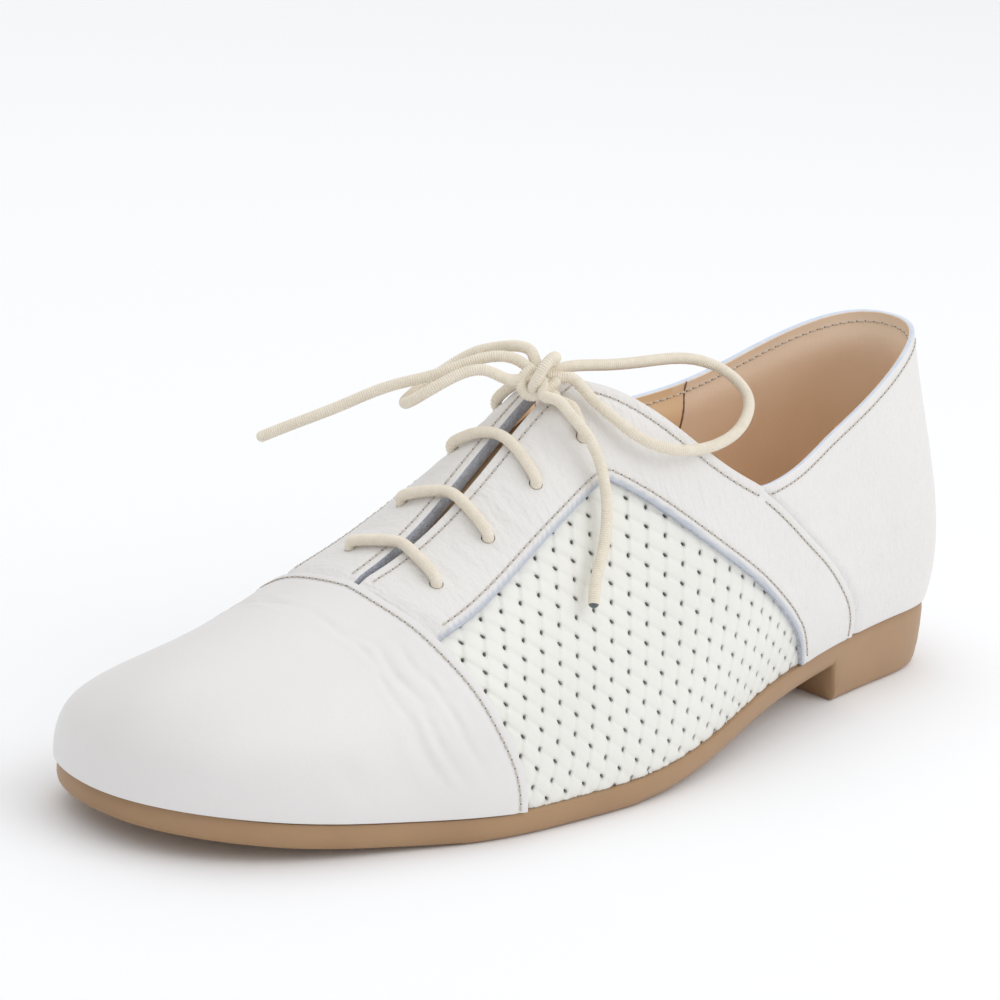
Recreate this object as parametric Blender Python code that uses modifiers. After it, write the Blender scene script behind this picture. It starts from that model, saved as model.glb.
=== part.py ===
"""Mesh lace-up shoe, one left shoe as separate solids.

The toe points along +X, the outer (lateral) side is +Y and the floor is z = 0. Sizes are in
millimetres from the back of the heel and the long axis until a mesh is made, which is in metres.
"""
import math

import bmesh
import bpy
import numpy as np
from mathutils import Matrix, Vector

MM = 0.001

# Driving sizes in millimetres
LENGTH = 256.5           # back of the heel seat to the toe tip, along the feather line
BALL_WIDTH = 80.0        # feather line across the ball of the foot
INSTEP_HEIGHT = 90.0     # floor to the highest point of the last
SOLE_EDGE = 6.0          # thickness of the unit sole at the forefoot and waist
WALL = 2.0               # woven leather and lining together
OVERLAY = 1.1            # cap, facing and quarter leather
INSOLE = 2.2
TONGUE = 1.4
GAP = 0.3                # air between pieces that touch on the real shoe
SLACK = 0.2              # more air where a curved piece lies over a coarser one
LACE = 2.6               # diameter of the round lace
EYELET = 3.4             # diameter of a punched eyelet
EYELET_PIN = 9.0         # length of the pin that cuts it
LACE_COLOUR = (0.74, 0.68, 0.57)

# Depths of the layers below the outer face of the leather
OVERLAY_TOP = 0.2
UPPER_TOP = OVERLAY_TOP - OVERLAY - GAP - SLACK
LINING_FACE = UPPER_TOP - WALL
TONGUE_TOP = LINING_FACE - GAP - 2 * SLACK
INSOLE_EDGE = LINING_FACE - GAP - SLACK

# Sections of the last from the back of the heel to the toe tip. Each joins the feather line, where
# the upper meets the sole, to the crest: the collar line at the back and the ridge in front.
# Lengths are shares of LENGTH, widths of BALL_WIDTH and heights of INSTEP_HEIGHT, in percent.
# pitch is the slope of the profile at the crest in degrees; rise, lean and shoulder shape its curve.
SECTION_COLUMNS = ("foot_x", "foot_lat", "foot_med", "foot_z", "crest_x", "crest_mid", "crest_half",
                   "crest_z", "pitch", "rise", "lean", "shoulder")
SECTIONS = (
    (1.6, 0.0, 0.0, 18.3, 3.5, 0.0, 0.0, 95.5, 80, 25.6, 26, 32.5),
    (4.0, 26.3, 24.3, 18.3, 5.7, 0.0, 11.8, 95.5, 80, 23.4, 22, 32.5),
    (12.1, 33.5, 32.9, 18.1, 12.9, 0.0, 19.6, 94.4, 80, 24.5, 20, 32.5),
    (24.2, 37.8, 34.0, 16.6, 25.0, 0.0, 22.0, 94.0, 72, 23.4, 17, 35.0),
    (36.3, 45.4, 31.3, 14.2, 36.3, 0.0, 22.5, 99.5, 55, 24.4, 17, 32.5),
    (46.0, 52.3, 33.3, 10.1, 44.8, 0.0, 10.0, 98.9, 25, 22.2, 15, 27.0),
    (55.4, 55.8, 39.0, 7.2, 53.0, 0.0, 2.5, 91.4, 0, 18.9, 15, 17.5),
    (64.3, 54.3, 45.3, 6.5, 61.0, 0.0, 1.9, 75.1, 0, 16.9, 12, 25.0),
    (72.9, 50.5, 49.5, 6.5, 69.0, 0.0, 0.9, 58.7, 0, 17.6, 13, 35.0),
    (81.5, 41.6, 50.0, 7.7, 77.6, 0.0, 0.0, 49.6, 0, 16.4, 12, 31.9),
    (90.1, 31.0, 46.0, 9.7, 84.4, -1.3, 0.0, 44.8, 0, 15.6, 12, 28.8),
    (97.1, 14.4, 36.3, 11.7, 89.7, -3.0, 0.0, 41.2, 0, 15.6, 13, 22.5),
    (100.0, -11.3, 11.3, 12.0, 92.6, -4.0, 0.0, 38.6, 0, 15.3, 13, 13.8),
)
LENGTH_COLUMNS = ("foot_x", "crest_x")
HEIGHT_COLUMNS = ("foot_z", "crest_z", "rise")
WIDTH_COLUMNS = ("foot_lat", "foot_med", "crest_mid", "crest_half", "shoulder")
FREE_COLUMNS = ("foot_lat", "foot_med", "crest_half")

# The topline in side view: quarter edge from the back down to the notch, then the facing edge up
TOPLINE_COLUMNS = ("x", "z")
QUARTER_EDGE = ((0.0, 82.5), (11.0, 81.0), (28.0, 76.0), (50.0, 68.3), (72.0, 63.3), (99.0, 60.5))
FACING_EDGE = ((99.0, 60.5), (112.0, 68.3), (121.0, 76.2), (129.0, 81.6), (137.0, 83.0))

# Seams on the skin: station is the way from heel back to toe tip, rise the way up a section, in percent
SEAM_COLUMNS = ("rise", "station")
CAP_LINE = ((0, 67.6), (17, 68.3), (31, 69.5), (47, 71.0), (62, 72.6), (75, 73.9), (88, 75.2), (100, 75.9))
SEAM_LINE = ((0, 21.8), (8, 22.2), (17, 23.3), (28, 25.6), (39, 29.0), (46, 32.2), (53, 35.6), (59, 38.8))
WINDOW_COLUMNS = ("station", "rise")
WINDOW_FRONT = ((73.0, 66.0), (67.3, 68.6), (62.6, 68.0), (58.2, 66.4), (54.2, 66.3))
WINDOW_REAR = ((54.2, 66.3), (52.0, 60.8), (47.0, 50.0), (41.0, 38.5), (36.8, 28.0), (33.0, 16.0),
               (30.4, 0.0))
EYELET_COLUMNS = ("station", "lateral", "medial")
EYELETS = ((70.9, 83.0, 85.5), (65.6, 82.5, 85.0), (60.3, 80.0, 82.5), (55.0, 78.0, 79.0))

# Sole: x of the breast and the share of the loop round each section of the unit sole
BREAST_X = 54.0
BREAST_SLANT = 2.5
FLAT_FROM = 146.0
FLAT_TO = 196.0
TOE_INSET = 1.6          # the upper overhangs the sole's edge at the toe
TOE_INSET_FROM = 0.86
# across runs from the medial edge (-1) to the lateral edge (1), level from the bottom (0) to the top (1)
SOLE_LOOP_COLUMNS = ("across", "level", "swell")
SOLE_LOOP = (
    (-1.0, 1.0, -0.6), (-0.35, 1.0, -0.6), (0.35, 1.0, -0.6), (1.0, 1.0, -0.6),
    (1.0, 0.7, 0.0), (1.0, 0.35, 0.0), (1.0, 0.0, -1.2),
    (0.35, 0.0, -1.2), (-0.35, 0.0, -1.2), (-1.0, 0.0, -1.2),
    (-1.0, 0.35, 0.0), (-1.0, 0.7, 0.0), (-1.0, 1.0, -0.6),
)

# How a lace comes out of its eyelet: millimetres over the facing towards the ridge and height above it
EYELET_BEND_COLUMNS = ("over", "height")
EYELET_BEND = ((0.0, -0.8), (0.0, 0.3), (0.3, 0.95), (1.0, 1.4), (2.4, 1.55))
BAR_HEIGHT = 1.55        # a bar's centre above the facing and over the ridge
BAR_WAYS = (0.45, 0.72)  # shares of the way to the ridge where a bar lies on the facing
RISER_WAYS = (0.42,)

# The bow, in millimetres: each strand leaves the knot in its own direction and follows its route
KNOT = (143.0, 2.0, 84.2)
KNOT_RADII = (3.9, 3.7, 3.4)
STRAND_START = (4.5, 6.2)
LOOP_LATERAL = ((133.0, 3.2, 85.4), (125.7, 5.4, 85.2), (112.2, 8.5, 85.3), (101.3, 12.1, 84.8),
                (96.3, 17.0, 82.4), (95.7, 22.2, 79.0), (100.4, 26.5, 75.7), (108.1, 29.0, 73.0),
                (117.4, 29.0, 71.4), (124.9, 26.8, 71.4), (131.2, 22.2, 73.5), (135.0, 16.0, 77.6),
                (137.4, 9.8, 82.0))
LOOP_MEDIAL = ((142.2, -5.0, 88.8), (142.8, -10.2, 87.6), (145.3, -14.2, 86.0), (148.2, -17.8, 83.0),
               (153.6, -21.0, 78.3), (159.4, -21.2, 75.2), (163.4, -17.4, 76.0), (162.4, -13.0, 79.4),
               (158.4, -9.8, 82.8), (152.8, -5.6, 84.7))
END_MEDIAL = ((150.0, -9.5, 86.0), (156.8, -15.1, 82.2), (163.4, -23.2, 78.1), (169.8, -31.1, 72.5),
              (175.5, -38.1, 67.7), (180.6, -44.4, 63.3))
END_LATERAL = ((146.5, 8.5, 81.2), (145.0, 12.5, 78.6), (143.6, 17.2, 74.2), (142.9, 20.9, 68.3),
               (144.0, 24.3, 61.2), (148.3, 28.0, 53.3), (153.4, 30.9, 47.0), (155.8, 33.0, 43.0))
STRANDS = (
    ("lace_loop_lateral", (-0.98, 0.06, 0.15), LOOP_LATERAL, (-0.65, 0.75, 0.02)),
    ("lace_loop_medial", (-0.15, -0.72, 0.68), LOOP_MEDIAL, (0.80, -0.55, -0.20)),
    ("lace_end_medial", (0.35, -0.85, 0.38), END_MEDIAL, None),
    ("lace_end_lateral", (0.58, 0.66, -0.48), END_LATERAL, None),
)
RISER_AT_KNOT = {"lateral": (-0.10, 0.72, -0.69), "medial": (-0.30, -0.85, -0.42)}
STRAND_STEP = 5.0        # spacing of a strand's points along its route

LATERAL = 1
MEDIAL = -1
SIDES = (("lateral", LATERAL), ("medial", MEDIAL))
TANGENT_STEP = 1e-3
LEVEL_PITCH = 40.0       # above this pitch the crest no longer follows the ridge's slope


def table_columns(names, rows):
    """A table's rows as one array for each named column."""
    return {name: np.array([row[i] for row in rows], float) for i, name in enumerate(names)}


def section_table():
    """The sections in millimetres, from the driving sizes."""
    table = table_columns(SECTION_COLUMNS, SECTIONS)
    sizes = ((LENGTH_COLUMNS, LENGTH), (WIDTH_COLUMNS, BALL_WIDTH), (HEIGHT_COLUMNS, INSTEP_HEIGHT))
    for names, size in sizes:
        for name in names:
            table[name] = table[name] / 100 * size
    table["lean"] = table["lean"] / 100
    return table


def spline(knots, values, at, level_ends):
    """A smooth cubic through a table's column, with level or free ends."""
    knots = np.asarray(knots, float)
    values = np.asarray(values, float)
    step = np.diff(knots)
    slope = np.diff(values) / step
    count = len(knots)
    matrix = np.zeros((count, count))
    right = np.zeros(count)
    for i in range(1, count - 1):
        matrix[i, i - 1:i + 2] = step[i - 1], 2 * (step[i - 1] + step[i]), step[i]
        right[i] = 6 * (slope[i] - slope[i - 1])
    if level_ends:
        matrix[0, :2] = 2 * step[0], step[0]
        matrix[-1, -2:] = step[-1], 2 * step[-1]
        right[0], right[-1] = 6 * slope[0], -6 * slope[-1]
    else:
        matrix[0, 0] = matrix[-1, -1] = 1
    bend = np.linalg.solve(matrix, right)
    at = np.asarray(at, float)
    i = np.clip(np.searchsorted(knots, at, side="right") - 1, 0, count - 2)
    a = (knots[i + 1] - at) / step[i]
    b = 1 - a
    return (a * values[i] + b * values[i + 1]
            + ((a**3 - a) * bend[i] + (b**3 - b) * bend[i + 1]) * step[i]**2 / 6)


TABLE = section_table()
half_width = (TABLE["foot_lat"] + TABLE["foot_med"]) / 2
chords = np.hypot(np.diff(TABLE["foot_x"]), np.diff(half_width))
STATIONS = np.concatenate([[0], np.cumsum(chords)]) / chords.sum()
THROAT_END = CAP_LINE[-1][1] / 100
THROAT_CLOSE = 0.03      # the throat's two edges draw together over this much of the stations


def column(name, u):
    return spline(STATIONS, TABLE[name], u, level_ends=name not in FREE_COLUMNS)


def side_line(kind, u, side):
    """The feather line (foot) or the crest on one side, at station u from 0 to 1."""
    if kind == "foot":
        y = column("foot_lat", u) if side == LATERAL else -column("foot_med", u)
    else:
        closing = np.clip((THROAT_END - u) / THROAT_CLOSE, 0, 1)
        y = column("crest_mid", u) + side * closing * np.maximum(column("crest_half", u), 0)
    return np.stack([column(kind + "_x", u), y, column(kind + "_z", u)], axis=-1)


def along(kind, u, side):
    ahead = side_line(kind, np.clip(u + TANGENT_STEP, 0, 1), side)
    behind = side_line(kind, np.clip(u - TANGENT_STEP, 0, 1), side)
    return ahead - behind


def unit(vectors):
    return vectors / np.maximum(np.linalg.norm(vectors, axis=-1, keepdims=True), 1e-12)


def square_at_ends(u, run):
    """At the heel back and the toe tip both sides run straight across."""
    at_end = (u <= 0) | (u >= 1)
    return np.where(at_end[..., None], run * np.array([0.0, 1.0, 0.0]), run)


def outward(u, side):
    """The level direction that leaves the feather line at a right angle."""
    run = square_at_ends(u, along("foot", u, side))
    return unit(np.stack([-run[..., 1], run[..., 0], 0 * run[..., 0]], axis=-1) * side)


def ridge_slope(u, side):
    """Rise of the crest over its run along the shoe."""
    ridge = along("crest", u, side)
    run = np.where(np.abs(ridge[..., 0]) < 1e-9, 1e-9, ridge[..., 0])
    return ridge[..., 2] / run


def last_point(u, t, side):
    """A point of the last: station u along it, t from the feather line (0) to the crest (1)."""
    u, t = np.broadcast_arrays(np.asarray(u, float), np.asarray(t, float))
    foot = side_line("foot", u, side)
    crest = side_line("crest", u, side)
    up = np.array([0.0, 0.0, 1.0])
    rise = column("rise", u)[..., None]
    lean = column("lean", u)[..., None]
    near_foot = foot + rise * (up + lean * outward(u, side))
    fall = foot - crest
    fall[..., 2] = 0
    fall = unit(fall)
    pitch = column("pitch", u)
    slope = ridge_slope(u, side) * np.clip(1 - pitch / LEVEL_PITCH, 0, 1)
    fall[..., 2] = fall[..., 0] * slope
    pitch = np.radians(pitch)[..., None]
    near_crest = crest + column("shoulder", u)[..., None] * (np.cos(pitch) * fall - np.sin(pitch) * up)
    t = t[..., None]
    s = 1 - t
    return foot * s**3 + 3 * near_foot * t * s**2 + 3 * near_crest * t**2 * s + crest * t**3


def last_normal(u, t, side):
    step = TANGENT_STEP
    u, t = np.broadcast_arrays(np.asarray(u, float), np.asarray(t, float))
    over = last_point(np.clip(u + step, 0, 1), t, side) - last_point(np.clip(u - step, 0, 1), t, side)
    up = last_point(u, np.clip(t + step, 0, 1), side) - last_point(u, np.clip(t - step, 0, 1), side)
    normal = unit(np.cross(up, square_at_ends(u, over)) * side)
    slope = ridge_slope(u, side)
    upright = unit(np.stack([-slope, 0 * slope, 1 + 0 * slope], axis=-1))
    on_ridge = (t >= 1) & (u >= THROAT_END)
    return np.where(on_ridge[..., None], upright, normal)


def skin(u, t, side, depth=0.0):
    """The last's surface, moved out (or in, where depth is negative) along its normal."""
    return last_point(u, t, side) + depth * last_normal(u, t, side)


def topline_height(x):
    quarter = table_columns(TOPLINE_COLUMNS, QUARTER_EDGE)
    facing = table_columns(TOPLINE_COLUMNS, FACING_EDGE)
    notch_x = facing["x"][0]
    back = spline(quarter["x"], quarter["z"], np.clip(x, 0, notch_x), level_ends=False)
    front = spline(facing["x"], facing["z"], np.clip(x, notch_x, facing["x"][-1]), level_ends=False)
    height = np.where(x < notch_x, back, front)
    return np.where(x > facing["x"][-1], 2 * INSTEP_HEIGHT, height)


def topline(u, side):
    """How far up its section the upper reaches at each station."""
    u = np.asarray(u, float)
    low = np.zeros_like(u)
    high = np.ones_like(u)
    for _ in range(30):
        middle = (low + high) / 2
        point = last_point(u, middle, side)
        below = point[..., 2] < topline_height(point[..., 0])
        low = np.where(below, middle, low)
        high = np.where(below, high, middle)
    return np.where(high > 0.999, 1.0, low)


def seam_station(rows, t):
    table = table_columns(SEAM_COLUMNS, rows)
    rise = table["rise"] / 100
    return spline(rise, table["station"] / 100, np.clip(t, 0, rise[-1]), False)


def cap_station(t):
    return seam_station(CAP_LINE, t)


def quarter_station(t):
    return seam_station(SEAM_LINE, t)


def window_edge(rows, share):
    """A point (station, rise) of the woven window's edge, at a share of its own length."""
    table = table_columns(WINDOW_COLUMNS, rows)
    legs = np.hypot(np.diff(table["station"]), np.diff(table["rise"]))
    knots = np.concatenate([[0], np.cumsum(legs)]) / legs.sum()
    return [spline(knots, table[name] / 100, share, False) for name in WINDOW_COLUMNS]


def notch_station(side):
    """The station where the topline's two edges meet."""
    notch_x = FACING_EDGE[0][0]
    u = np.linspace(0.2, 0.6, 401)
    return float(np.interp(notch_x, last_point(u, topline(u, side), side)[:, 0], u))


def corner_station(side):
    """The station where the facing edge reaches the throat."""
    u = np.linspace(0.4, 0.7, 601)
    return float(u[np.argmax(topline(u, side) >= 1.0)])


NOTCH = notch_station(LATERAL)
CORNER = corner_station(LATERAL)
NOTCH_RISE = float(topline(np.array([NOTCH]), LATERAL)[0])
STATION_GAP = 0.0013     # about GAP along the skin
FACING_REACH = 0.986     # the facing stops about a millimetre short of the ridge


def add_material(obj, colour, roughness):
    material = bpy.data.materials.new(obj.name)
    material.use_nodes = True
    shader = material.node_tree.nodes["Principled BSDF"]
    shader.inputs["Base Color"].default_value = (*colour, 1.0)
    shader.inputs["Roughness"].default_value = roughness
    shader.inputs["Metallic"].default_value = 0.0
    obj.data.materials.append(material)


def lay_grid(bm, columns, rows, place, flip):
    """A grid whose points go where place(a, b) says, for shares a and b from 0 to 1."""
    made = bmesh.ops.create_grid(bm, x_segments=columns, y_segments=rows, size=0.5)
    verts = made["verts"]
    flat = np.array([vert.co[:2] for vert in verts])
    share = (flat - flat.min(axis=0)) / (flat.max(axis=0) - flat.min(axis=0))
    for vert, point in zip(verts, place(share[:, 0], share[:, 1]) * MM):
        vert.co = point
    if flip:
        faces = list({face for vert in verts for face in vert.link_faces})
        bmesh.ops.reverse_faces(bm, faces=faces)


def finish_mesh(name, bm, colour, roughness):
    bmesh.ops.remove_doubles(bm, verts=bm.verts, dist=0.01 * MM)
    bmesh.ops.dissolve_degenerate(bm, edges=bm.edges, dist=0.01 * MM)
    mesh = bpy.data.meshes.new(name)
    bm.to_mesh(mesh)
    bm.free()
    mesh.shade_smooth()
    mesh.set_sharp_from_angle(angle=math.radians(40))
    obj = bpy.data.objects.new(name, mesh)
    PARTS.objects.link(obj)
    obj.parent = SHOE
    add_material(obj, colour, roughness)
    return obj


def sheet_piece(name, columns, rows, places, thickness, colour, roughness):
    """A sheet: one or two grids, welded where they meet, given its thickness inwards."""
    bm = bmesh.new()
    for flip, place in places:
        lay_grid(bm, columns, rows, place, flip)
    obj = finish_mesh(name, bm, colour, roughness)
    wall = obj.modifiers.new("wall", "SOLIDIFY")
    wall.thickness = thickness * MM
    wall.offset = -1
    wall.use_even_offset = True
    wall.use_quality_normals = True
    return obj


def stops(share, counts, values):
    """Shares mapped so that given numbers of columns fall between given stations."""
    edges = np.concatenate([[0], np.cumsum(counts)]) / sum(counts)
    return np.interp(share, edges, values)


def make_upper():
    """The lasted wall, open at the collar, along the throat and underneath."""
    counts = (15, 6, 7, 13)
    values = (0.0, NOTCH, CORNER, THROAT_END, 1.0)

    def place_on(side):
        def place(a, b):
            u = stops(a, counts, values)
            return skin(u, b * topline(u, side), side, UPPER_TOP)
        return side == LATERAL, place

    places = [place_on(side) for _, side in SIDES]
    return sheet_piece("upper", sum(counts), 9, places, WALL, (0.84, 0.83, 0.81), 0.5)


def make_toe_cap():
    def place_on(side):
        def place(a, b):
            start = cap_station(b)
            return skin(start + (1 - start) * a, b, side, OVERLAY_TOP)
        return side == LATERAL, place

    places = [place_on(side) for _, side in SIDES]
    return sheet_piece("toe_cap", 13, 9, places, OVERLAY, (0.80, 0.78, 0.77), 0.42)


def make_heel_quarter():
    def place_on(side):
        def place(a, b):
            u = a * (quarter_station(b * NOTCH_RISE) - STATION_GAP)
            return skin(u, b * topline(a * (NOTCH - STATION_GAP), side), side, OVERLAY_TOP)
        return side == LATERAL, place

    places = [place_on(side) for _, side in SIDES]
    return sheet_piece("heel_quarter", 17, 9, places, OVERLAY, (0.82, 0.81, 0.80), 0.45)


def facing_outer(share, side):
    """The facing's outer edge: throat, topline, then the seam down to the sole."""
    at_corner, at_notch = 0.40, 0.62
    u = np.interp(share, (0, at_corner, at_notch), (THROAT_END, CORNER, NOTCH))
    t = np.minimum(topline(u, side), FACING_REACH)
    down = np.clip((share - at_notch) / (1 - at_notch), 0, 1)
    seam_rise = NOTCH_RISE * (1 - down)
    on_seam = share > at_notch
    return np.where(on_seam, quarter_station(seam_rise), u), np.where(on_seam, seam_rise, t)


def facing_inner(share):
    """The facing's inner edge: round the woven window from the cap to the sole."""
    at_apex = 0.46
    front = window_edge(WINDOW_FRONT, np.clip(share / at_apex, 0, 1))
    rear = window_edge(WINDOW_REAR, np.clip((share - at_apex) / (1 - at_apex), 0, 1))
    on_front = share < at_apex
    return np.where(on_front, front[0], rear[0]), np.where(on_front, front[1], rear[1])


def make_facing(side_name, side):
    """Eyelet stay and side band in one piece, from the cap up to the collar and down to the sole."""
    def place(a, b):
        outer_u, outer_t = facing_outer(a, side)
        inner_u, inner_t = facing_inner(a)
        u = outer_u * (1 - b) + inner_u * b
        t = outer_t * (1 - b) + inner_t * b
        u = np.minimum(u, cap_station(t) - STATION_GAP)
        return skin(u, t, side, OVERLAY_TOP)

    places = [(side == LATERAL, place)]
    return sheet_piece("facing_" + side_name, 30, 4, places, OVERLAY, (0.82, 0.81, 0.80), 0.45)


def make_tongue():
    """A plain sheet under the throat, from below the cap to just past the facing's corner."""
    first, last = CORNER - 0.012, THROAT_END + 0.035
    widest, narrowest = 0.34, 0.22
    centre_share = 0.06
    top_drop = 1.5

    def place(a, b):
        u = first + (last - first) * a
        reach = widest + (narrowest - widest) * a
        across = 2 * b - 1
        t = 1 - reach * np.maximum(np.abs(across), centre_share)
        depth = (TONGUE_TOP - top_drop * (1 - a)**3)[:, None]
        lateral = skin(u, t, LATERAL, depth)
        medial = skin(u, t, MEDIAL, depth)
        return np.where(across[:, None] > 0, lateral, medial)

    return sheet_piece("tongue", 13, 7, [(False, place)], TONGUE, (0.62, 0.44, 0.30), 0.6)


def sole_bottom(u):
    """Height of the unit sole's underside: flat heel, arched waist, flat forefoot, toe spring."""
    x = column("foot_x", u)
    height = np.maximum(column("foot_z", u) - SOLE_EDGE, 0.0)
    flat = (x > FLAT_FROM) & (x < FLAT_TO)
    heel = x < BREAST_X + BREAST_SLANT / 2
    return np.where(flat | heel, 0.0, height)


def station_at(x):
    u = np.linspace(0, 1, 2001)
    return float(np.interp(x, column("foot_x", u), u))


def make_outsole():
    """The unit sole: forefoot, waist and low heel in one moulded piece."""
    heel_front = station_at(BREAST_X)
    waist_back = station_at(BREAST_X + BREAST_SLANT)
    counts = (12, 1, 32)
    values = (0.0, heel_front, waist_back, 1.0)
    loop = table_columns(SOLE_LOOP_COLUMNS, SOLE_LOOP)
    turns = np.linspace(0, 1, len(SOLE_LOOP))

    def place(a, b):
        u = stops(a, counts, values)
        across = np.interp(b, turns, loop["across"])
        level = np.interp(b, turns, loop["level"])
        toe_share = np.clip((u - TOE_INSET_FROM) / (1 - TOE_INSET_FROM), 0, 1)
        swell = np.interp(b, turns, loop["swell"]) - TOE_INSET * toe_share
        lateral = side_line("foot", u, LATERAL) + swell[:, None] * outward(u, LATERAL)
        medial = side_line("foot", u, MEDIAL) + swell[:, None] * outward(u, MEDIAL)
        share = ((across + 1) / 2)[:, None]
        point = medial * (1 - share) + lateral * share
        top = column("foot_z", u) - GAP
        point[:, 2] = sole_bottom(u) + level * (top - sole_bottom(u))
        return point

    bm = bmesh.new()
    lay_grid(bm, sum(counts), len(SOLE_LOOP) - 1, place, flip=False)
    bmesh.ops.remove_doubles(bm, verts=bm.verts, dist=0.01 * MM)
    bmesh.ops.recalc_face_normals(bm, faces=bm.faces)
    return finish_mesh("outsole", bm, (0.37, 0.22, 0.12), 0.5)


def make_insole():
    """The board that the foot stands on, inside the wall."""
    def place(a, b):
        lateral = side_line("foot", a, LATERAL) + INSOLE_EDGE * outward(a, LATERAL)
        medial = side_line("foot", a, MEDIAL) + INSOLE_EDGE * outward(a, MEDIAL)
        point = medial * (1 - b[:, None]) + lateral * b[:, None]
        point[:, 2] = column("foot_z", a) + INSOLE
        return point

    return sheet_piece("insole", 34, 3, [(False, place)], INSOLE, (0.55, 0.40, 0.28), 0.6)


def eyelet_at(number, side_name):
    """Station, rise and side of one punched eyelet."""
    table = table_columns(EYELET_COLUMNS, EYELETS)
    side = dict(SIDES)[side_name]
    return table["station"][number] / 100, table[side_name][number] / 100, side


def make_eyelet_cutter():
    """One pin through each eyelet, square to the skin."""
    bm = bmesh.new()
    for number in range(len(EYELETS)):
        for side_name, _ in SIDES:
            u, t, side = eyelet_at(number, side_name)
            centre = Vector(skin(u, t, side, LINING_FACE / 2) * MM)
            turn = Vector(last_normal(u, t, side)).to_track_quat("Z", "Y").to_matrix().to_4x4()
            radius = EYELET / 2 * MM
            bmesh.ops.create_cone(bm, cap_ends=True, segments=10, radius1=radius, radius2=radius,
                                  depth=EYELET_PIN * MM, matrix=Matrix.Translation(centre) @ turn)
    mesh = bpy.data.meshes.new("eyelet_cutter")
    bm.to_mesh(mesh)
    bm.free()
    cutter = bpy.data.objects.new("eyelet_cutter", mesh)
    CUTTERS.objects.link(cutter)
    cutter.parent = SHOE
    cutter.hide_render = True
    cutter.display_type = "WIRE"
    return cutter


def punch(obj, cutter):
    cut = obj.modifiers.new("eyelets", "BOOLEAN")
    cut.operation = "DIFFERENCE"
    cut.solver = "EXACT"
    cut.object = cutter


def smooth_route(points, step):
    """Points at an even spacing along a smooth curve through a route's own points."""
    points = np.asarray(points, float)
    legs = np.linalg.norm(np.diff(points, axis=0), axis=1)
    knots = np.concatenate([[0], np.cumsum(legs)])
    count = max(int(round(knots[-1] / step)), 2)
    at = np.linspace(0, knots[-1], count + 1)
    return np.stack([spline(knots, points[:, k], at, False) for k in range(3)], axis=-1)


def rounded_route(points):
    """A route's own points and, between those far apart, points on a smooth curve through them all."""
    points = np.asarray(points, float)
    legs = np.linalg.norm(np.diff(points, axis=0), axis=1)
    knots = np.concatenate([[0], np.cumsum(legs)])
    at = [knots[0]]
    for start, end in zip(knots[:-1], knots[1:]):
        count = max(int(round((end - start) / LACE)), 1)
        at.extend(np.linspace(start, end, count + 1)[1:])
    return np.stack([spline(knots, points[:, k], np.array(at), False) for k in range(3)], axis=-1)


def lace_tube(name, points):
    curve = bpy.data.curves.new(name, "CURVE")
    curve.dimensions = "3D"
    curve.bevel_depth = LACE / 2 * MM
    curve.bevel_resolution = 2
    curve.use_fill_caps = True
    line = curve.splines.new("POLY")
    line.points.add(len(points) - 1)
    for node, point in zip(line.points, points):
        node.co = (*(point * MM), 1.0)
    obj = bpy.data.objects.new(name, curve)
    PARTS.objects.link(obj)
    obj.parent = SHOE
    add_material(obj, LACE_COLOUR, 0.7)
    return obj


def out_of_eyelet(number, side_name, ways):
    """The lace's first points: up through the eyelet, then along the facing towards the ridge."""
    bend = table_columns(EYELET_BEND_COLUMNS, EYELET_BEND)
    u, t, side = eyelet_at(number, side_name)
    reach = np.linalg.norm(skin(u, 1.0, side) - skin(u, t, side))
    rise = t + (1 - t) * np.concatenate([bend["over"] / reach, ways])
    height = OVERLAY_TOP + np.concatenate([bend["height"], np.full(len(ways), BAR_HEIGHT)])
    return skin(np.full_like(rise, u), rise, side, height[:, None])


def make_lace_bars():
    """Straight bars over the throat, from inside one eyelet to inside the other."""
    for number in range(len(EYELETS) - 1):
        u = EYELETS[number][0] / 100
        over_ridge = [skin(u, 1.0, side, OVERLAY_TOP + BAR_HEIGHT) for _, side in SIDES]
        middle = (over_ridge[0] + over_ridge[1]) / 2
        lateral = out_of_eyelet(number, "lateral", BAR_WAYS)
        medial = out_of_eyelet(number, "medial", BAR_WAYS)
        points = [*lateral, middle, *medial[::-1]]
        lace_tube("lace_bar_%d" % (number + 1), rounded_route(points))


def knot_side(direction):
    """The first two points of a strand that leaves the knot in this direction."""
    return [np.array(KNOT) + way * unit(np.array(direction, float)) for way in STRAND_START]


def make_bow():
    """Knot, two loops and two ends, with the risers from the top eyelets."""
    for name, leaving, route, returning in STRANDS:
        points = [*knot_side(leaving), *route]
        if returning is not None:
            points.extend(knot_side(returning)[::-1])
        lace_tube(name, smooth_route(points, STRAND_STEP))
    top = len(EYELETS) - 1
    for side_name, _ in SIDES:
        points = [*out_of_eyelet(top, side_name, RISER_WAYS), *knot_side(RISER_AT_KNOT[side_name])[::-1]]
        lace_tube("lace_riser_" + side_name, rounded_route(points))
    bm = bmesh.new()
    bmesh.ops.create_uvsphere(bm, u_segments=12, v_segments=8, radius=1.0)
    bmesh.ops.scale(bm, vec=Vector(KNOT_RADII) * MM, verts=bm.verts)
    bmesh.ops.translate(bm, vec=Vector(KNOT) * MM, verts=bm.verts)
    finish_mesh("lace_knot", bm, LACE_COLOUR, 0.7)


def centre_on_sole(pieces):
    """Move the shoe so that the middle of its box, without the bow, is over the origin."""
    corners = np.array([obj.matrix_world @ Vector(corner) for obj in pieces for corner in obj.bound_box])
    middle = (corners.min(axis=0) + corners.max(axis=0)) / 2
    SHOE.location = (-middle[0], -middle[1], 0.0)


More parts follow.
